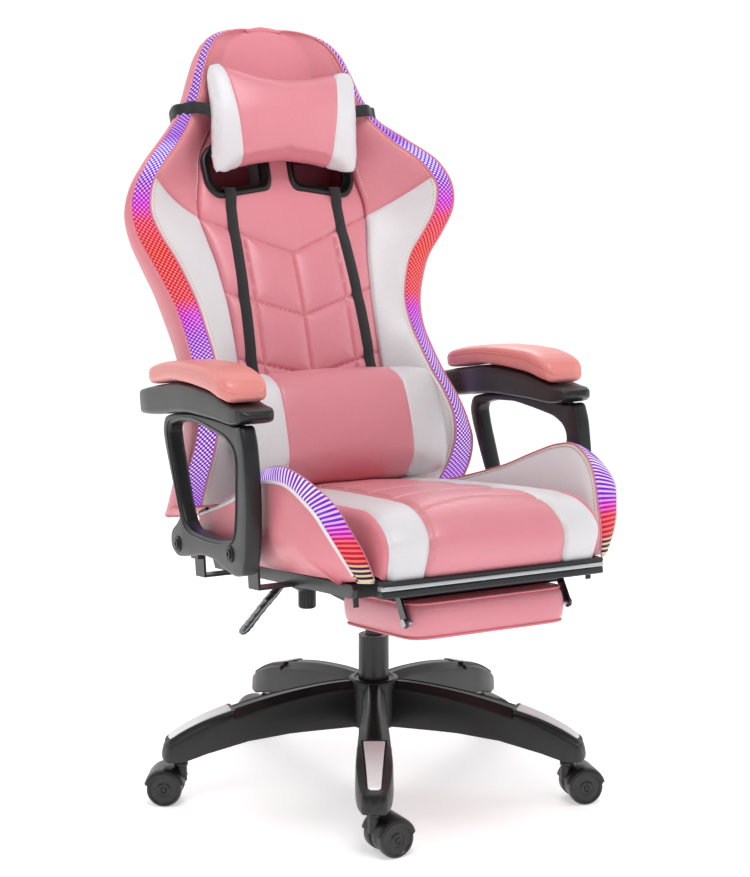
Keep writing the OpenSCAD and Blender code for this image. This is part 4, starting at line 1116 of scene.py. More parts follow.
LED_SEAT_L = [(0.0, (16, 8, 26), (220, 200, 160), 0), (0.06, (50, 8, 20), (226, 190, 150), 0), (0.09, (180, 10, 36), (240, 110, 84), 0), (0.17, (196, 14, 36), (246, 104, 96), 0), (0.22, (176, 10, 150), (240, 110, 220), 0),
              (0.27, (124, 12, 172), (214, 180, 255), 0), (0.45, (120, 12, 170), (242, 234, 255), 0), (0.75, (112, 10, 164), (230, 212, 255), 0), (1.0, (108, 8, 158), (206, 170, 255), 0)]
LED_SEAT_M = lit("seat light strip", LED_SEAT_L, "ribs", 0.95)
for side, nm in ((1, "right"), (-1, "left")):
    k0 = int(np.searchsorted(ti, bi[3]))
    qs = Q[k0:][::-1]
    A, B = qs[:, 1:4], qs[:, 4:7]
    up = np.array([0.35, -0.35, 0.87])
    u = np.linspace(0, 1, 9)
    ax = np.cross(np.gradient(A, axis=0), B - A)
    ax /= np.linalg.norm(ax, axis=1)[:, None] + 1e-9
    ax *= np.sign(ax @ up)[:, None]
    d = np.concatenate([[0], np.cumsum(np.linalg.norm(np.diff((A + B) / 2, axis=0), axis=1))])
    ridge = 0.9 * np.abs(np.sin(d * PI / 8.8))[:, None]
    g = A[:, None] + (B - A)[:, None] * u[None, :, None] + ax[:, None] * ((1.6 + 3.2 * (4 * u * (1 - u)) ** 0.6)[None, :, None] + ridge[:, None] * np.clip(4 * u * (1 - u), 0, 1)[None, :, None])
    g = g * [side, 1, 1]
    w = np.linalg.norm(B - A, axis=1)
    uv = np.stack([np.repeat(u[None], len(d), 0), np.repeat((d / d[-1])[:, None], len(u), 1)], -1)
    uvm = np.stack([u[None] * w[:, None] / 1000, np.repeat(d[:, None] / 1000, len(u), 1)], -1)
    o = sheet_panel(f"seat_light_strip_{nm}", g, LED_SEAT_M, "seat", "seat", 4.0, (-0.25 * side, 0.3, -0.9), uv=uv, uvm=uvm, replaces=("seat_light_strips",))


# ------------------------------------------------------------------ plates and lofts
def offset2(P, d):
    """a closed 2-D outline moved inwards by d"""
    P = np.asarray(P, float)
    a = np.roll(P, 1, 0)
    c = np.roll(P, -1, 0)
    t = c - a
    t /= np.linalg.norm(t, axis=1)[:, None] + 1e-9
    nrm = np.stack([-t[:, 1], t[:, 0]], 1)
    area = np.sum(P[:, 0] * np.roll(P[:, 1], -1) - np.roll(P[:, 0], -1) * P[:, 1])
    if area < 0:
        nrm = -nrm
    return P + nrm * d


def fillet(P, r, k=5):
    """rounds the corners of a closed outline"""
    P = np.asarray(P, float)
    out = []
    for i in range(len(P)):
        a, b, c = P[i - 1], P[i], P[(i + 1) % len(P)]
        u, v = (a - b), (c - b)
        lu, lv = np.linalg.norm(u), np.linalg.norm(v)
        q = min(r, 0.45 * lu, 0.45 * lv)
        for t in np.linspace(0, 1, k):
            out.append((1 - t) ** 2 * (b + u / lu * q) + 2 * t * (1 - t) * b + t * t * (b + v / lv * q))
    return np.array(out)


def plate(name, outer, holes, x0, x1, bevel, to3, mats, body, in_frame, replaces=(), sharp=35, rows_=None):
    """a moulded plate with rounded edges: outer outline, hole outlines, between x0 and x1; to3(x, 2-D points) gives frame points"""
    prof = rows_ or [(0, 1.0), (0.12, 0.5), (0.3, 0.22), (0.6, 0.05), (1.0, 0.0)]
    prof = [(a * bevel, b_ * bevel) for a, b_ in prof]
    lev = [(x0 + a, b_) for a, b_ in prof] + [(x1 - a, b_) for a, b_ in prof[::-1]]
    V, F, caps0, caps1 = [], [], [], []
    for loop, sign in [(outer, 1)] + [(h, -1) for h in holes]:
        o0 = len(V)
        for x, ins in lev:
            for p in offset2(loop, sign * ins):
                V.append(to3(x, p))
        m = len(loop)
        F += quads(len(lev), m, wrap=True, off=o0)
        caps0.append([o0 + j for j in range(m)])
        caps1.append([o0 + (len(lev) - 1) * m + j for j in range(m)])
    o = build(name, V, F, mats, body, in_frame, sharp=0, replaces=replaces)
    bm = bmesh.new()
    bm.from_mesh(o.data)
    bm.verts.ensure_lookup_table()
    for caps in (caps0, caps1):
        es = []
        for c in caps:
            for a, b2 in zip(c, c[1:] + c[:1]):
                e_ = bm.edges.get((bm.verts[a], bm.verts[b2]))
                if e_:
                    es.append(e_)
        bmesh.ops.triangle_fill(bm, use_beauty=True, use_dissolve=False, edges=es)
    bmesh.ops.recalc_face_normals(bm, faces=bm.faces)
    bm.to_mesh(o.data)
    bm.free()
    o.data.polygons.foreach_set("use_smooth", np.ones(len(o.data.polygons), bool))
    o.data.set_sharp_from_angle(angle=math.radians(sharp))
    return o


# arm loops
LO = [[-195, 250], [-205, 222], [-208, 170], [-206, 125], [-198, 83], [-190, 53], [-178, 30], [-141, 22], [-95, 32], [-60, 42], [0, 46], [72, 38], [110, 35], [136, 50], [132, 77], [100, 92], [84, 104], [98, 128], [119, 176], [135, 216], [141, 242], [130, 263], [92, 268], [9, 268], [-97, 258], [-176, 248]]
LI = [[105, 250], [60, 256], [-10, 253], [-73, 241], [-133, 228], [-160, 214], [-170, 198], [-164, 169], [-157, 125], [-148, 94], [-136, 80], [-90, 75], [-32, 76], [40, 83], [60, 92], [76, 119], [91, 167], [107, 215], [112, 240]]
for side, nm in ((1, "right"), (-1, "left")):
    to3 = lambda x, p, s_=side: (s_ * x, p[0], p[1])
    outer, inner = fillet(LO, 14, 6), fillet(LI, 16, 6)
    plate(f"arm_loop_{nm}_moulded", outer, [inner], 275, 301, 6.0, to3, BLACK, "seat", "seat", replaces=(f"arm_loop_{nm}",))
    # bolt caps and a raised rib round the window
    parts = []
    for v0 in (-130, 97):
        for r1, r2, h0, h1 in ((13, 11.5, 300.5, 303.5), (7.5, 6.5, 303, 305.5)):
            V, F = lathe([[0, h0], [r1, h0], [r1, h1 - 1], [r2, h1], [r2 - 3.5, h1 - (0.8 if r1 > 10 else 0)], [3.2, h1 - (0.8 if r1 > 10 else 0)], [3.0, h1 - 2.0], [0, h1 - 2.0]], 36)
            V = np.stack([side * V[:, 2], v0 + V[:, 0], 57 + V[:, 1]], 1)
            parts.append((V, F))
    V, F = joined(parts)
    o = build(f"arm_bolt_caps_{nm}", V, F, BLACK_MATT, "seat", "seat", sharp=40)
    orient(o)
    rib = offset2(inner, -7.0)
    line = np.array([[side * 301.2, q[0], q[1]] for q in rib])
    V, F = tube(line, 1.5, 8, closed=True)
    o = build(f"arm_loop_rib_{nm}", V, F, BLACK, "seat", "seat")
    orient(o)

# arm beams
BV = np.concatenate([-212 + 14 * (1 - np.cos(np.linspace(0, PI / 2, 8))), np.linspace(-196, 232, 72), 234 + 18 * np.sin(np.linspace(0, PI / 2, 12))])
bb = lin([-212, -190, -176, -97, 9, 92, 130, 180, 244, 253], [258, 250.5, 248.5, 258.5, 268.5, 268.5, 266, 266, 268, 270], BV)
bt = lin([-212, -205, -160, -108, -25, 50, 140, 244, 253], [266, 272, 282, 298, 311, 318, 315, 308, 304], BV)
x0_ = lin([-212, -195, 60, 110, 200, 245, 253], [252, 245, 245, 251, 252, 257, 268], BV)
x1_ = lin([-212, -190, 200, 245, 253], [300, 308, 310, 302, 286], BV)
for arr in (bb, bt, x0_, x1_):
    arr[3:-3] = np.convolve(arr, np.ones(7) / 7, "valid")
a_ = np.linspace(0, 2 * PI, 72, endpoint=False)
ca, sa = np.cos(a_), np.sin(a_)
ce, se = np.sign(ca) * np.abs(ca) ** 0.28, np.sign(sa) * np.abs(sa) ** 0.34
endk = np.clip(np.minimum((BV + 212) / 6, (253 - BV) / 9), 0, 1) ** 0.5
rows = []
for i, v in enumerate(BV):
    cx_, cw_ = (x0_[i] + x1_[i]) / 2, (bb[i] + bt[i]) / 2
    hx, hz = (x1_[i] - x0_[i]) / 2 * (0.55 + 0.45 * endk[i]), (bt[i] - bb[i]) / 2 * (0.4 + 0.6 * endk[i])
    x, w = cx_ + hx * ce, cw_ + hz * se
    groove = np.exp(-((se - 0.25) / 0.045) ** 2) + np.exp(-((se + 0.12) / 0.045) ** 2) + np.exp(-((se + 0.5) / 0.045) ** 2)
    x = x - np.sign(ca) * groove * 1.5 * (np.abs(ce) > 0.8)
    rows.append(np.stack([x, np.full(72, v), w], 1))
rows = np.array(rows)
for side, nm in ((1, "right"), (-1, "left")):
    F = quads(len(BV), 72, wrap=True) + [tuple(range(72))[::-1], tuple((len(BV) - 1) * 72 + j for j in range(72))]
    o = build(f"arm_beam_{nm}", (rows * [side, 1, 1]).reshape(-1, 3), F, BLACK, "seat", "seat", sharp=40, replaces=("arm_beams",))
    orient(o)

# arm pads
AV = np.concatenate([-180 + 16 * (1 - np.cos(np.linspace(0, PI / 2, 10))), np.linspace(-162, 156, 90), 158 + 18 * np.sin(np.linspace(0, PI / 2, 12))])
at_ = lin([-180, -165, -120, -60, 20, 100, 160, 176], [305, 322, 338, 346, 352, 352, 346, 330], AV)
ab_ = lin([-180, -160, -108, -25, 50, 140, 165, 176], [281, 284, 300, 313, 320, 317, 315, 322], AV)
ax0 = lin([-180, -168, 0, 150, 176], [250, 242, 240, 242, 256], AV)
ax1 = lin([-180, -165, 0, 150, 176], [304, 316, 318, 316, 302], AV)
for arr in (at_, ab_, ax0, ax1):
    arr[5:-5] = np.convolve(arr, np.ones(11) / 11, "valid")
ce, se = np.sign(ca) * np.abs(ca) ** 0.5, np.sign(sa) * np.abs(sa) ** 0.55
endk = np.clip(np.minimum((AV + 180) / 13, (176 - AV) / 13), 0, 1)
endk = np.sqrt(1 - (1 - endk) ** 2)
rows = []
for i, v in enumerate(AV):
    cx_ = (ax0[i] + ax1[i]) / 2
    cw_ = (at_[i] + ab_[i]) / 2
    hx, hz = (ax1[i] - ax0[i]) / 2 * (0.5 + 0.5 * endk[i]), (at_[i] - ab_[i]) / 2 * (0.25 + 0.75 * endk[i])
    d = np.abs(se - 0.30)
    wrinkle = 0.5 * math.sin(v * 0.21) * math.exp(-((v + 175) / 40) ** 2) + 0.5 * math.sin(v * 0.24) * math.exp(-((v - 170) / 36) ** 2)
    rows.append(np.stack([cx_ + (hx + 0.7 - 2.0 * np.exp(-(d / 0.05) ** 2)) * ce, np.full(72, v), cw_ + (hz + wrinkle) * se], 1))
rows = np.array(rows)
for side, nm in ((1, "right"), (-1, "left")):
    F = quads(len(AV), 72, wrap=True) + [tuple(range(72))[::-1], tuple((len(AV) - 1) * 72 + j for j in range(72))]
    o = build(f"arm_pad_{nm}", (rows * [side, 1, 1]).reshape(-1, 3), F, SALMON, "seat", "seat", sharp=0, replaces=("arm_pads",))
    orient(o)
    # piping round the seam
    j0 = int(np.argmin(np.abs(se - 0.30) + (ce < 0) * 9))
    j1 = int(np.argmin(np.abs(se - 0.30) + (ce > 0) * 9))
    line = np.concatenate([rows[3:-3, j0], rows[3:-3, j1][::-1]]) * [side, 1, 1]
    V, F = tube(line, 1.4, 8, closed=True)
    o = build(f"arm_pad_piping_{nm}", V, F, SALMON, "seat", "seat")
    orient(o)

# ------------------------------------------------------------------ footrest pad, seat front trim
fx, fv = 134.0, (-387.0, -135.0)
cxy = np.array([0, (fv[0] + fv[1]) / 2])
hx_, hv_ = 134.0, (fv[1] - fv[0]) / 2
na = 160
a_ = np.linspace(0, 2 * PI, na, endpoint=False)
ca, sa = np.cos(a_), np.sin(a_)
ex = np.sign(ca) * np.abs(ca) ** 0.22
ev = np.sign(sa) * np.abs(sa) ** 0.22
L_ = np.sqrt((ex * hx_) ** 2 + (ev * hv_) ** 2)
lv_ = [(-68.5, 0.0), (-68.4, 0.5), (-68, 0.86), (-66.5, 0.935), (-62.5, 0.975), (-56, 0.993), (-45, 1.0), (-33, 1.0), (-23, 0.993), (-16.5, 0.975), (-12.5, 0.935), (-10.4, 0.86), (-9.2, 0.6), (-8.8, 0.3), (-8.7, 0.0)]
rows = []
for w, kk_ in lv_:
    sx, sv = kk_, kk_
    if kk_ > 0.8:
        sx, sv = 1 - (1 - kk_) * 0.9, 1 - (1 - kk_) * 0.95
    corner = np.minimum(np.abs(np.abs(ex) * hx_ - hx_), 1e3) + np.abs(np.abs(ev) * hv_ - hv_)
    groove = 1.6 * np.exp(-(corner / 5.0) ** 2) if kk_ > 0.9 else 0 * corner
    bul = (3.0 * math.sin(PI * np.clip((w + 68) / 58, 0, 1)) if kk_ > 0.9 else 0)
    x = ex * (hx_ - 3) * sx
    v = ev * (hv_ - 3) * sv
    un = np.stack([ex * hx_, ev * hv_], 1) / L_[:, None]
    x, v = x + un[:, 0] * (bul - groove), v + un[:, 1] * (bul - groove)
    rows.append(np.stack([x, cxy[1] + v, np.full(na, w) + 0 * x], 1))
rows = np.array(rows)
o = build("footrest_pad_soft", rows.reshape(-1, 3), quads(len(lv_), na, wrap=True), PINK, "footrest", "seat", sharp=0, replaces=("footrest_pad",))
bm = bmesh.new()
bm.from_mesh(o.data)
bmesh.ops.remove_doubles(bm, verts=bm.verts, dist=1e-5)
bmesh.ops.recalc_face_normals(bm, faces=bm.faces)
bm.to_mesh(o.data)
bm.free()
o.data.polygons.foreach_set("use_smooth", np.ones(len(o.data.polygons), bool))
parts = []
for w, kk_ in ((-64, 0.972), (-14.5, 0.968)):
    line = np.stack([ex * (hx_ - 1.8) * kk_ * 1.008, cxy[1] + ev * (hv_ - 1.8) * kk_ * 1.008, np.full(na, w)], 1)
    parts.append(tube(resample(np.concatenate([line, line[:1]]), 5)[:-1], 1.7, 8, closed=True))
V, F = joined(parts)
o = build("footrest_piping", V, F, PINK_SIDE, "footrest", "seat")
orient(o)

# front rail trim: a black line, a silver band that is a painted highlight, and a dark steel band
trim = []
rowsT = [(-402, 20.5), (-402, 12.5), (-399, 11.5), (-390, 11.5), (-386, 14), (-386, 20.5), (-390, 22)]
for nm, prof, mat, sl in (("seat_trim_painted_highlight", [(-400.5, 19), (-402.5, 17.8), (-402.5, 13.2), (-400.5, 12), (-388, 12), (-388, 19)], SILVER_PAINTED_HIGHLIGHT, "trim_silver"), ("seat_trim_dark", [(-399.5, 12), (-401, 10.5), (-401, 3.5), (-399, 1.5), (-386, 1.5), (-386, 12)], STEEL, "black_steel"), ("seat_trim_line", [(-401, 25), (-402.5, 24), (-402.5, 20), (-400, 19), (-388, 19), (-388, 25)], BLACK, "black_nylon")):
    g = []
    for x in [-184, -182, -178, -120, -60, 0, 60, 120, 178, 182, 184]:
        kx = {184: 6.0, 182: 2.0}.get(abs(x), 0.0)
        g.append([(x, v + kx * 0.8, w) for v, w in prof])
    g = np.array(g)
    k, m = g.shape[:2]
    F = quads(k, m, wrap=True) + [tuple(range(m))[::-1], tuple((k - 1) * m + j for j in range(m))]
    o = build(nm, g.reshape(-1, 3), F, mat, "seat", "seat", sharp=30)
    orient(o)
    bv = o.modifiers.new("b", "BEVEL")
    bv.width, bv.segments, bv.limit_method = 0.0008, 2, "ANGLE"
    apply_mods(o)

for side, nm in ((1, "right"), (-1, "left")):
    out_ = [[-352, 21], [-358, 14], [-352, 3], [-340, 0.5], [150, 0.5], [156, 4], [156, 18], [150, 21.5]]
    plate(f"seat_side_trim_{nm}", fillet(out_, 4), [], 200.6, 208.5, 1.6, lambda x, p, s_=side: (s_ * x, p[0], p[1]), STEEL, "seat", "seat")

# ------------------------------------------------------------------ base
ARM_TOP = [[30, 176], [60, 176], [120, 171], [180, 162], [243, 148], [300, 130], [335, 113], [350, 103], [357, 95]]
ARM_BOT = [[354, 71], [330, 72], [290, 84], [220, 97], [150, 101], [30, 100]]
ARM_PLAN = [[28, 19], [120, 20], [200, 25], [260, 28], [295, 29], [330, 25], [356, 17]]
rr_ = np.concatenate([np.linspace(30, 344, 90), 344 + 12.5 * np.sin(np.linspace(0.12, PI / 2, 10))])
top = curve([p[0] for p in ARM_TOP], np.array([p[1] for p in ARM_TOP], float), rr_)
top = np.where(rr_ > 348, top - (1 - np.sqrt(np.maximum(0, 1 - ((rr_ - 347.5) / 9.2) ** 2))) * 12, top)
bot = lin([30, 150, 220, 290, 330, 357], [100, 101, 97, 84, 72, 71], rr_)
bot = np.where(rr_ > 345, bot + (1 - np.sqrt(np.maximum(0, 1 - ((rr_ - 344) / 12.6) ** 2))) * 4, bot)
hwd = curve([p[0] for p in ARM_PLAN], np.array([p[1] for p in ARM_PLAN], float), rr_)
hwd = np.where(rr_ > 344, np.interp(344, [330, 356], [25, 17]) * np.sqrt(np.maximum(0.10, 1 - ((rr_ - 344) / 13.2) ** 2)), hwd)


def arm_section(h, zt, zb, r):
    ridge = 1.0 if r < 243 else 0.0
    sh = 7 + 5 * ridge
    pts = [(-h + 1.5, zb), (-h, zb + 3), (-h - 0.0, zb + 8), (-h + 0.8, zt - sh - 3), (-h + 2.2, zt - sh + 0.5), (-h + 4, zt - sh + 1.8), (-0.52 * h, zt - 2.2), (-0.44 * h, zt - 0.6), (-0.38 * h, zt), (-0.30 * h, zt - 0.9), (-0.2 * h, zt - 1.4 * ridge)]
    return np.array(pts + [(0, zt - 1.5 * ridge)] + [(-a, z_) for a, z_ in pts[::-1]])


ARM = np.array([np.concatenate([np.full((23, 1), r), arm_section(h, zt, zb, r)], 1) for r, h, zt, zb in zip(rr_, hwd, top, bot)])


def on_arm(P, k):
    a = math.radians(-26.4 + 72 * k - 90)
    c, s_ = math.cos(a), math.sin(a)
    P = np.asarray(P, float).reshape(-1, 3)
    return np.stack([P[:, 0] * c - P[:, 1] * s_, P[:, 0] * s_ + P[:, 1] * c, P[:, 2]], 1)


parts, inl, bor = [], [], []
for k in range(5):
    n, m = ARM.shape[:2]
    F = quads(n, m, wrap=True) + [tuple(range(m))[::-1], tuple((n - 1) * m + j for j in range(m))]
    parts.append((on_arm(ARM, k), F))
    # inlay: grid with rounded corners, standing 2.5 mm proud; its border 1.4 mm
    for dst, r0, r1, grow, h_, z0 in ((inl, 245, 346, 0.0, 2.4, 0.4), (bor, 240, 350.5, 3.6, 1.5, 0.0)):
        ra = np.linspace(r0, r1, 42)
        hh = np.interp(ra, [243, 347], [17, 9.5]) + grow
        cr = 4.0
        e0, e1 = ra - r0, r1 - ra
        cut = np.where(np.minimum(e0, e1) < cr, cr - np.sqrt(np.maximum(0, cr**2 - (cr - np.minimum(e0, e1)) ** 2)), 0)
        hh = hh - cut
        zz = curve([p[0] for p in ARM_TOP], np.array([p[1] for p in ARM_TOP], float), ra)
        u = np.array([-1, -1, -0.985, -0.93, -0.8, -0.4, 0, 0.4, 0.8, 0.93, 0.985, 1, 1])
        zu = np.array([-4, 0.55, 0.85, 1, 1, 1, 1, 1, 1, 1, 0.85, 0.55, -4])
        ek = np.clip(np.minimum(e0, e1) / 1.6, 0.35, 1)
        g = np.stack([np.repeat(ra[:, None], 13, 1), hh[:, None] * u[None], zz[:, None] + z0 + h_ * np.where(zu > 0, zu * ek[:, None], zu)], -1)
        F = quads(42, 13, wrap=True) + [tuple(range(13))[::-1], tuple(41 * 13 + j for j in range(13))]
        dst.append((on_arm(g, k), F))
hub = lathe([[25.0, 99], [40, 99], [42, 101], [42.4, 140], [42, 172], [40.5, 176.5], [37, 178.5], [33, 178.5], [31.5, 177], [30.5, 175.4], [25.6, 175.4], [25.0, 174.5]], 96)
hv, hf = hub
hf = hf + [((len(hv) // 96 - 1) * 96 + j, (len(hv) // 96 - 1) * 96 + (j + 1) % 96, (j + 1) % 96, j) for j in range(96)]
for k in range(5):
    pass
V, F = joined(parts + [(hv, hf)])
o = build("star_base_moulded", V, F, BLACK, "base", "world", sharp=28, replaces=("star_base",))
orient(o)
V, F = joined(inl)
o = build("base_inlay_plates", V, F, INLAY, "base", "world", sharp=35, replaces=("base_inlays",))
orient(o)
V, F = joined(bor)
o = build("base_inlay_borders", V, F, BLACK_MATT, "base", "world", sharp=35)
orient(o)

# ------------------------------------------------------------------ casters
CAST = [[0, 3], [1, -12.5], [2, 0], [3, 160], [4, 151.5]]


def at_caster(P, n):
    a = math.radians(-26.4 + 72 * CAST[n][0] - 90)
    b_ = math.radians(CAST[n][1])
    P = np.asarray(P, float).reshape(-1, 3)
    x, y = P[:, 0] * math.cos(b_) - P[:, 1] * math.sin(b_), P[:, 0] * math.sin(b_) + P[:, 1] * math.cos(b_)
    return np.stack([x + 327 * math.cos(a), y + 327 * math.sin(a), P[:, 2]], 1)


def about_wheel(prof, a0=0.0, a1=360.0, cnt=72, closed_profile=False):
    """[y, r] profile swept about the wheel axis"""
    pr = np.asarray(prof, float)
    full = a1 - a0 >= 360
    ang = np.radians(np.linspace(a0, a1, cnt, endpoint=not full))
    V = np.stack([24 + pr[None, :, 1] * np.cos(ang)[:, None], np.repeat(pr[None, :, 0], cnt, 0), 28 + pr[None, :, 1] * np.sin(ang)[:, None]], -1)
    m = len(pr)
    F = quads(cnt, m, wrap=closed_profile)
    if full:
        F += [((cnt - 1) * m + j, (cnt - 1) * m + (j + 1) % m, (j + 1) % m, j) for j in range(m if closed_profile else m - 1)]
    elif closed_profile:
        F += [tuple(range(m))[::-1], tuple((cnt - 1) * m + j for j in range(m))]
    return V.reshape(-1, 3), F


for n_ in range(5):
    hood = about_wheel([[-29.5, 24.5], [-30, 26], [-30, 28.5], [-28.6, 31.2], [-25.5, 32.8], [-21, 33.2], [-10, 33.4], [0, 33.5], [10, 33.4], [21, 33.2], [25.5, 32.8], [28.6, 31.2], [30, 28.5], [30, 26], [29.5, 24.5], [28, 25.5], [27.8, 28.5], [26, 30.3], [10, 30.6], [0, 30.6], [-10, 30.6], [-26, 30.3], [-27.8, 28.5], [-28, 25.5]], 16, 164, 60, True)
    rim = about_wheel([[-30.6, 26.2], [-30.2, 25.2], [-29.0, 25.0], [-28.8, 27.0], [-30.2, 27.6]], 14, 166, 48, True)
    rim2 = about_wheel([[30.6, 26.2], [30.2, 25.2], [29.0, 25.0], [28.8, 27.0], [30.2, 27.6]], 14, 166, 48, True)
    web = about_wheel([[-9, 4], [-9, 25.4], [-8, 26], [8, 26], [9, 25.4], [9, 4]], 0, 360, 72, True)
    axle = about_wheel([[-28.8, 0.2], [-28.8, 3.2], [-28, 4], [28, 4], [28.8, 3.2], [28.8, 0.2]], 0, 360, 32)
    sv, sf = lathe([[5.55, 36], [10, 36], [10, 60], [11.5, 61.5], [11.5, 66], [10.5, 67.4], [5.55, 67.4]], 40)
    sf = sf + [(6 * 40 + j, 6 * 40 + (j + 1) % 40, (j + 1) % 40, j) for j in range(40)]
    V, F = joined([hood, rim, rim2, web, axle, (sv, sf)])
    o = build(f"caster_hood_{n_ + 1}_moulded", V, F, BLACK, f"caster_{n_ + 1}", "world", sharp=35, replaces=(f"caster_hood_{n_ + 1}",), tm=lambda P, q=n_: world(at_caster(P, q)))
    orient(o)
    parts = []
    for s_ in (-1, 1):
        parts.append(about_wheel([[s_ * y, r] for y, r in [[11, 4.05], [11, 24.5], [11.6, 26.8], [13.5, 27.7], [16, 28], [24, 28], [26.6, 27.6], [28.2, 26.4], [28.8, 24.6], [28.2, 22.8], [26.8, 21.8], [26.4, 19], [26.6, 12], [27.6, 10.6], [28.4, 9.4], [28.4, 6.2], [27.4, 4.4], [27.2, 4.05]]], 0, 360, 84, True))
    V, F = joined(parts)
    o = build(f"caster_wheels_{n_ + 1}_moulded", V, F, WHEEL, f"wheels_{n_ + 1}", "world", sharp=30, replaces=(f"caster_wheels_{n_ + 1}",), tm=lambda P, q=n_: world(at_caster(P, q)))
    orient(o)

# ------------------------------------------------------------------ levers and knob
KN = []
ka = np.linspace(0, 2 * PI, 160, endpoint=False)
kr = 15.0 - 0.9 * (np.cos(ka * 20) > 0.35)
rows = []
for z_, sc, kn in ((281.0, 0.0, 0), (281.0, 0.55, 0), (281.4, 0.86, 0), (282.6, 0.97, 1), (284, 1.0, 1), (295, 1.0, 1), (308, 1.0, 1), (311.5, 0.99, 1), (313.3, 0.94, 0), (313.7, 0.8, 0), (313.7, 0.35, 0), (321, 0.33, 0), (321, 0.0, 0)):
    r_ = (kr if kn else np.full(160, 15.0)) * sc
    rows.append(np.stack([-75 + r_ * np.cos(ka), 100 + r_ * np.sin(ka), np.full(160, z_)], 1))
o = build("tension_knob_moulded", np.array(rows).reshape(-1, 3), quads(len(rows), 160, wrap=True), BLACK, "knob", "world", sharp=35, replaces=("tension_knob",))
orient(o)

ctr = np.array([[-58, 100, 329], [-80, 100, 329.2], [-104, 100, 329], [-119, 100, 326], [-134, 100, 313], [-149, 100, 298.5], [-166, 100, 280.5], [-180, 100, 265], [-190, 100, 255.5], [-197, 100, 250.5]], float)
t_ = np.linspace(0, len(ctr) - 1, 90)
cl = curve(np.arange(len(ctr)), ctr, t_)
wd = np.interp(t_, [0, 2.5, 3.4, 4.5, 6.0, 8.3, 9], [4.0, 4.0, 8.5, 10.5, 9.5, 9.5, 4.5])
th_ = np.interp(t_, [0, 2.5, 4, 6, 7.5, 8.6, 9], [3.4, 3.4, 5.2, 5.0, 5.6, 4.6, 2.0])
th_ = th_ + 0.9 * (t_ > 3.8) * (t_ < 8.2) * np.maximum(0, np.cos(t_ * 9.0))
T = np.gradient(cl, axis=0)
T /= np.linalg.norm(T, axis=1)[:, None]
Y = np.array([0, 1.0, 0])
N = np.cross(T, Y)
a_ = np.linspace(0, 2 * PI, 24, endpoint=False)
c_, s__ = np.cos(a_), np.sin(a_)
c_, s__ = np.sign(c_) * np.abs(c_) ** 0.6, np.sign(s__) * np.abs(s__) ** 0.6
V = (cl[:, None] + Y[None, None] * (wd[:, None] * c_[None])[..., None] + N[:, None] * (th_[:, None] * s__[None])[..., None]).reshape(-1, 3)
F = quads(90, 24, wrap=True) + [tuple(range(24))[::-1], tuple(89 * 24 + j for j in range(24))]
hubv, hubf = lathe([[3.1, -7], [5.5, -7], [5.5, 7], [3.1, 7]], 32)
hubf = hubf + [(3 * 32 + j, 3 * 32 + (j + 1) % 32, (j + 1) % 32, j) for j in range(32)]
hubv = np.stack([-66 + hubv[:, 0], 100 + hubv[:, 2], 329 + hubv[:, 1]], 1)
finger = tube(resample([[-60, 100, 329], [-26, 69, 336.5], [-1, 0, 344.6]], 3.0), 2.3, 10)
nub = lathe([[0.01, 341.4], [2.4, 341.4], [2.6, 342], [2.6, 345], [0.01, 345]], 20)
V, F = joined([(V, F), (hubv, hubf), finger, nub])
o = build("height_lever_bent", V, F, LEVER, "lift_lever", "world", sharp=40, replaces=("height_lever",))
orient(o)

# recline lever: a hub, a flat arm and a grip
to3 = lambda x, p: (x, p[0], p[1])
circ = [[207 + 13 * math.cos(t), 412 + 13 * math.sin(t)] for t in np.linspace(0, 2 * PI, 48, endpoint=False)]
hole = [[207 + 6.1 * math.cos(t), 412 + 6.1 * math.sin(t)] for t in np.linspace(0, 2 * PI, 32, endpoint=False)]
plate("recline_lever_hub", np.array(circ), [np.array(hole)], -220, -213.5, 1.2, to3, BLACK, "recline_handle", "world", replaces=("recline_lever",))
plate("recline_lever_arm", fillet([[199, 401], [199, 418], [158, 400], [147, 392], [150, 384], [160, 386]], 5), [], -219.6, -213.8, 1.4, to3, BLACK, "recline_handle", "world")
o = plate("recline_lever_grip", fillet([[145.5, 391], [150, 382.5], [163, 386.5], [159.5, 400]], 4), [], -245, -214, 3.0, to3, BLACK, "recline_handle", "world")

# ------------------------------------------------------------------ CAD pieces that carry over
for names, mat, sl in (
        (("column_tube", "pressure_tube", "tilt_housing", "mount_plate", "seat_frame", "arm_brackets", "hinge_plates", "back_brackets", "back_frame", "footrest_guides"), STEEL, "black_steel"),
        (("column_bush",), BUSH, "bush_plastic"), (("piston_rod",), CHROME, "chrome"),
        (("thrust_bearing", "caster_stems", "tilt_pin", "lever_pin", "torsion_spring", "recline_pins", "recline_springs", "arm_bolts", "footrest_pins"), ZINC, "zinc_steel"),
        # the footrest rails get the painted-shade dark steel
        (("footrest_rails",), RAIL_SHADE_DARK, "rail_steel"), (("valve_pin",), RED, "valve_red"), (("seat_straps",), WEB, "webbing")):
    for nm in names:
        ob = frame["nodes"][nm]
        ob.data.materials.clear()
        ob.data.materials.append(mat)
        if nm == "seat_straps" and not ob.data.uv_layers:
            lay = ob.data.uv_layers.new(name="UVMap")
            for lp in ob.data.loops:
                c_o = ob.data.vertices[lp.vertex_index].co
                lay.data[lp.index].uv = (c_o.x, c_o.y)

# ------------------------------------------------------------------ setting
fl = bpy.data.meshes.new("floor")
fl.from_pydata([(-70, -70, 0), (70, -70, 0), (70, 70, 0), (-70, 70, 0)], [], [(0, 1, 2, 3)])
floor = bpy.data.objects.new("floor", fl)
scene.collection.objects.link(floor)
ft = Tree("floor white")
nz = ft.noise(ft.coords(), 3.0, 3)
ft.put(Base_Color=ft.mix(ft.math("MULTIPLY", nz, 0.2), lin_rgb((252, 252, 252)), lin_rgb((246, 247, 249))), Roughness=0.7, Emission_Color=(1.0, 1.0, 1.0, 1.0))
ft.b.inputs["Emission Strength"].default_value = 0.45
fl.materials.append(ft.m)

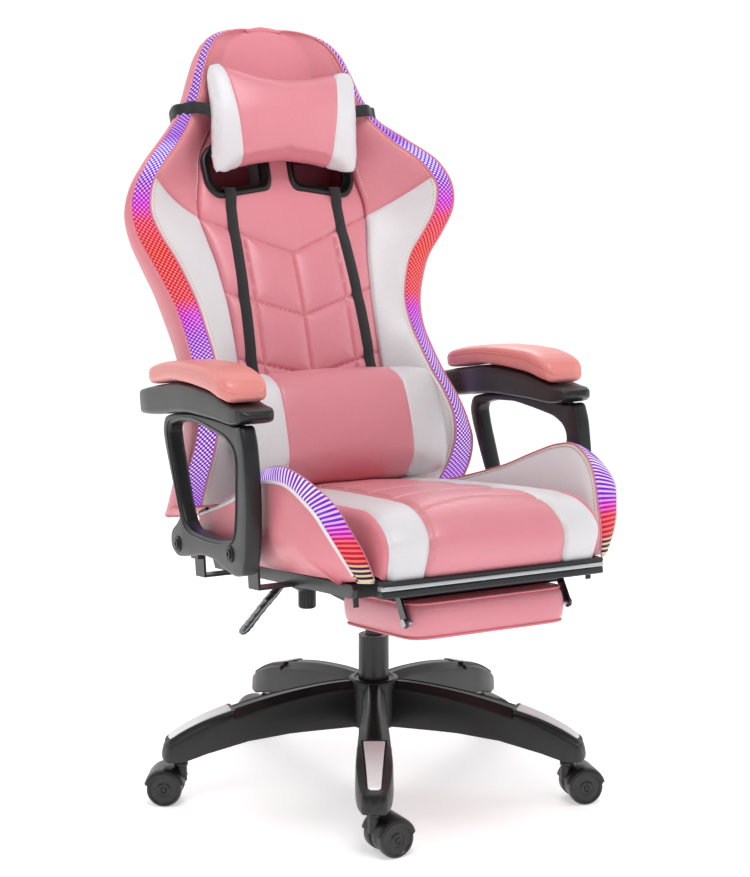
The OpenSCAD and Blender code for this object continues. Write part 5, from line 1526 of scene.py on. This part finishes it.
w_ = bpy.data.worlds.new("studio")
scene.world = w_
w_.use_nodes = True
bg = w_.node_tree.nodes["Background"]
wt = w_.node_tree
wc = wt.nodes.new("ShaderNodeTexCoord")
wsx = wt.nodes.new("ShaderNodeSeparateXYZ")
wr = wt.nodes.new("ShaderNodeValToRGB")
wt.links.new(wc.outputs["Generated"], wsx.inputs[0])
wt.links.new(wsx.outputs[1], wr.inputs["Fac"])
wr.color_ramp.elements[0].position, wr.color_ramp.elements[0].color = 0.0, (0.26, 0.26, 0.27, 1)
wr.color_ramp.elements[1].position, wr.color_ramp.elements[1].color = 0.45, (1.05, 1.05, 1.05, 1)
wz = wt.nodes.new("ShaderNodeValToRGB")
wz.color_ramp.elements[0].position, wz.color_ramp.elements[1].position = 0.10, 0.20
wt.links.new(wsx.outputs[2], wz.inputs["Fac"])
wm = wt.nodes.new("ShaderNodeMix")
wm.data_type = "RGBA"
wt.links.new(wz.outputs["Color"], wm.inputs[0])
wm.inputs[6].default_value = (1.05, 1.05, 1.05, 1)
wt.links.new(wr.outputs["Color"], wm.inputs[7])
wt.links.new(wm.outputs[2], bg.inputs["Color"])
bg.inputs["Strength"].default_value = 1.0


def lamp(name, loc, target, size, power, colour=(1, 1, 1)):
    l = bpy.data.lights.new(name, "AREA")
    l.energy, l.size, l.color = power, size, colour
    o = bpy.data.objects.new(name, l)
    scene.collection.objects.link(o)
    o.location = loc
    o.rotation_euler = (Vector(target) - Vector(loc)).to_track_quat("-Z", "Y").to_euler()
    return o


lamp("key", (-0.5, -1.5, 3.6), (0, 0, 0.7), 1.4, 62)
lamp("fill", (2.8, -1.2, 1.9), (0, 0, 0.6), 1.6, 16)
lamp("rim", (1.0, 2.6, 2.6), (0, 0, 0.8), 1.4, 20)

cam = bpy.data.cameras.new("camera")
co = bpy.data.objects.new("camera", cam)
scene.collection.objects.link(co)
co.location = (-1.2369, -2.4710, 1.0014)
co.rotation_euler = Vector((0.44312, 0.88351, -0.15182)).to_track_quat("-Z", "Y").to_euler()
cam.sensor_width, cam.lens = 36, 70.67
scene.camera = co
scene.view_settings.view_transform = "Standard"
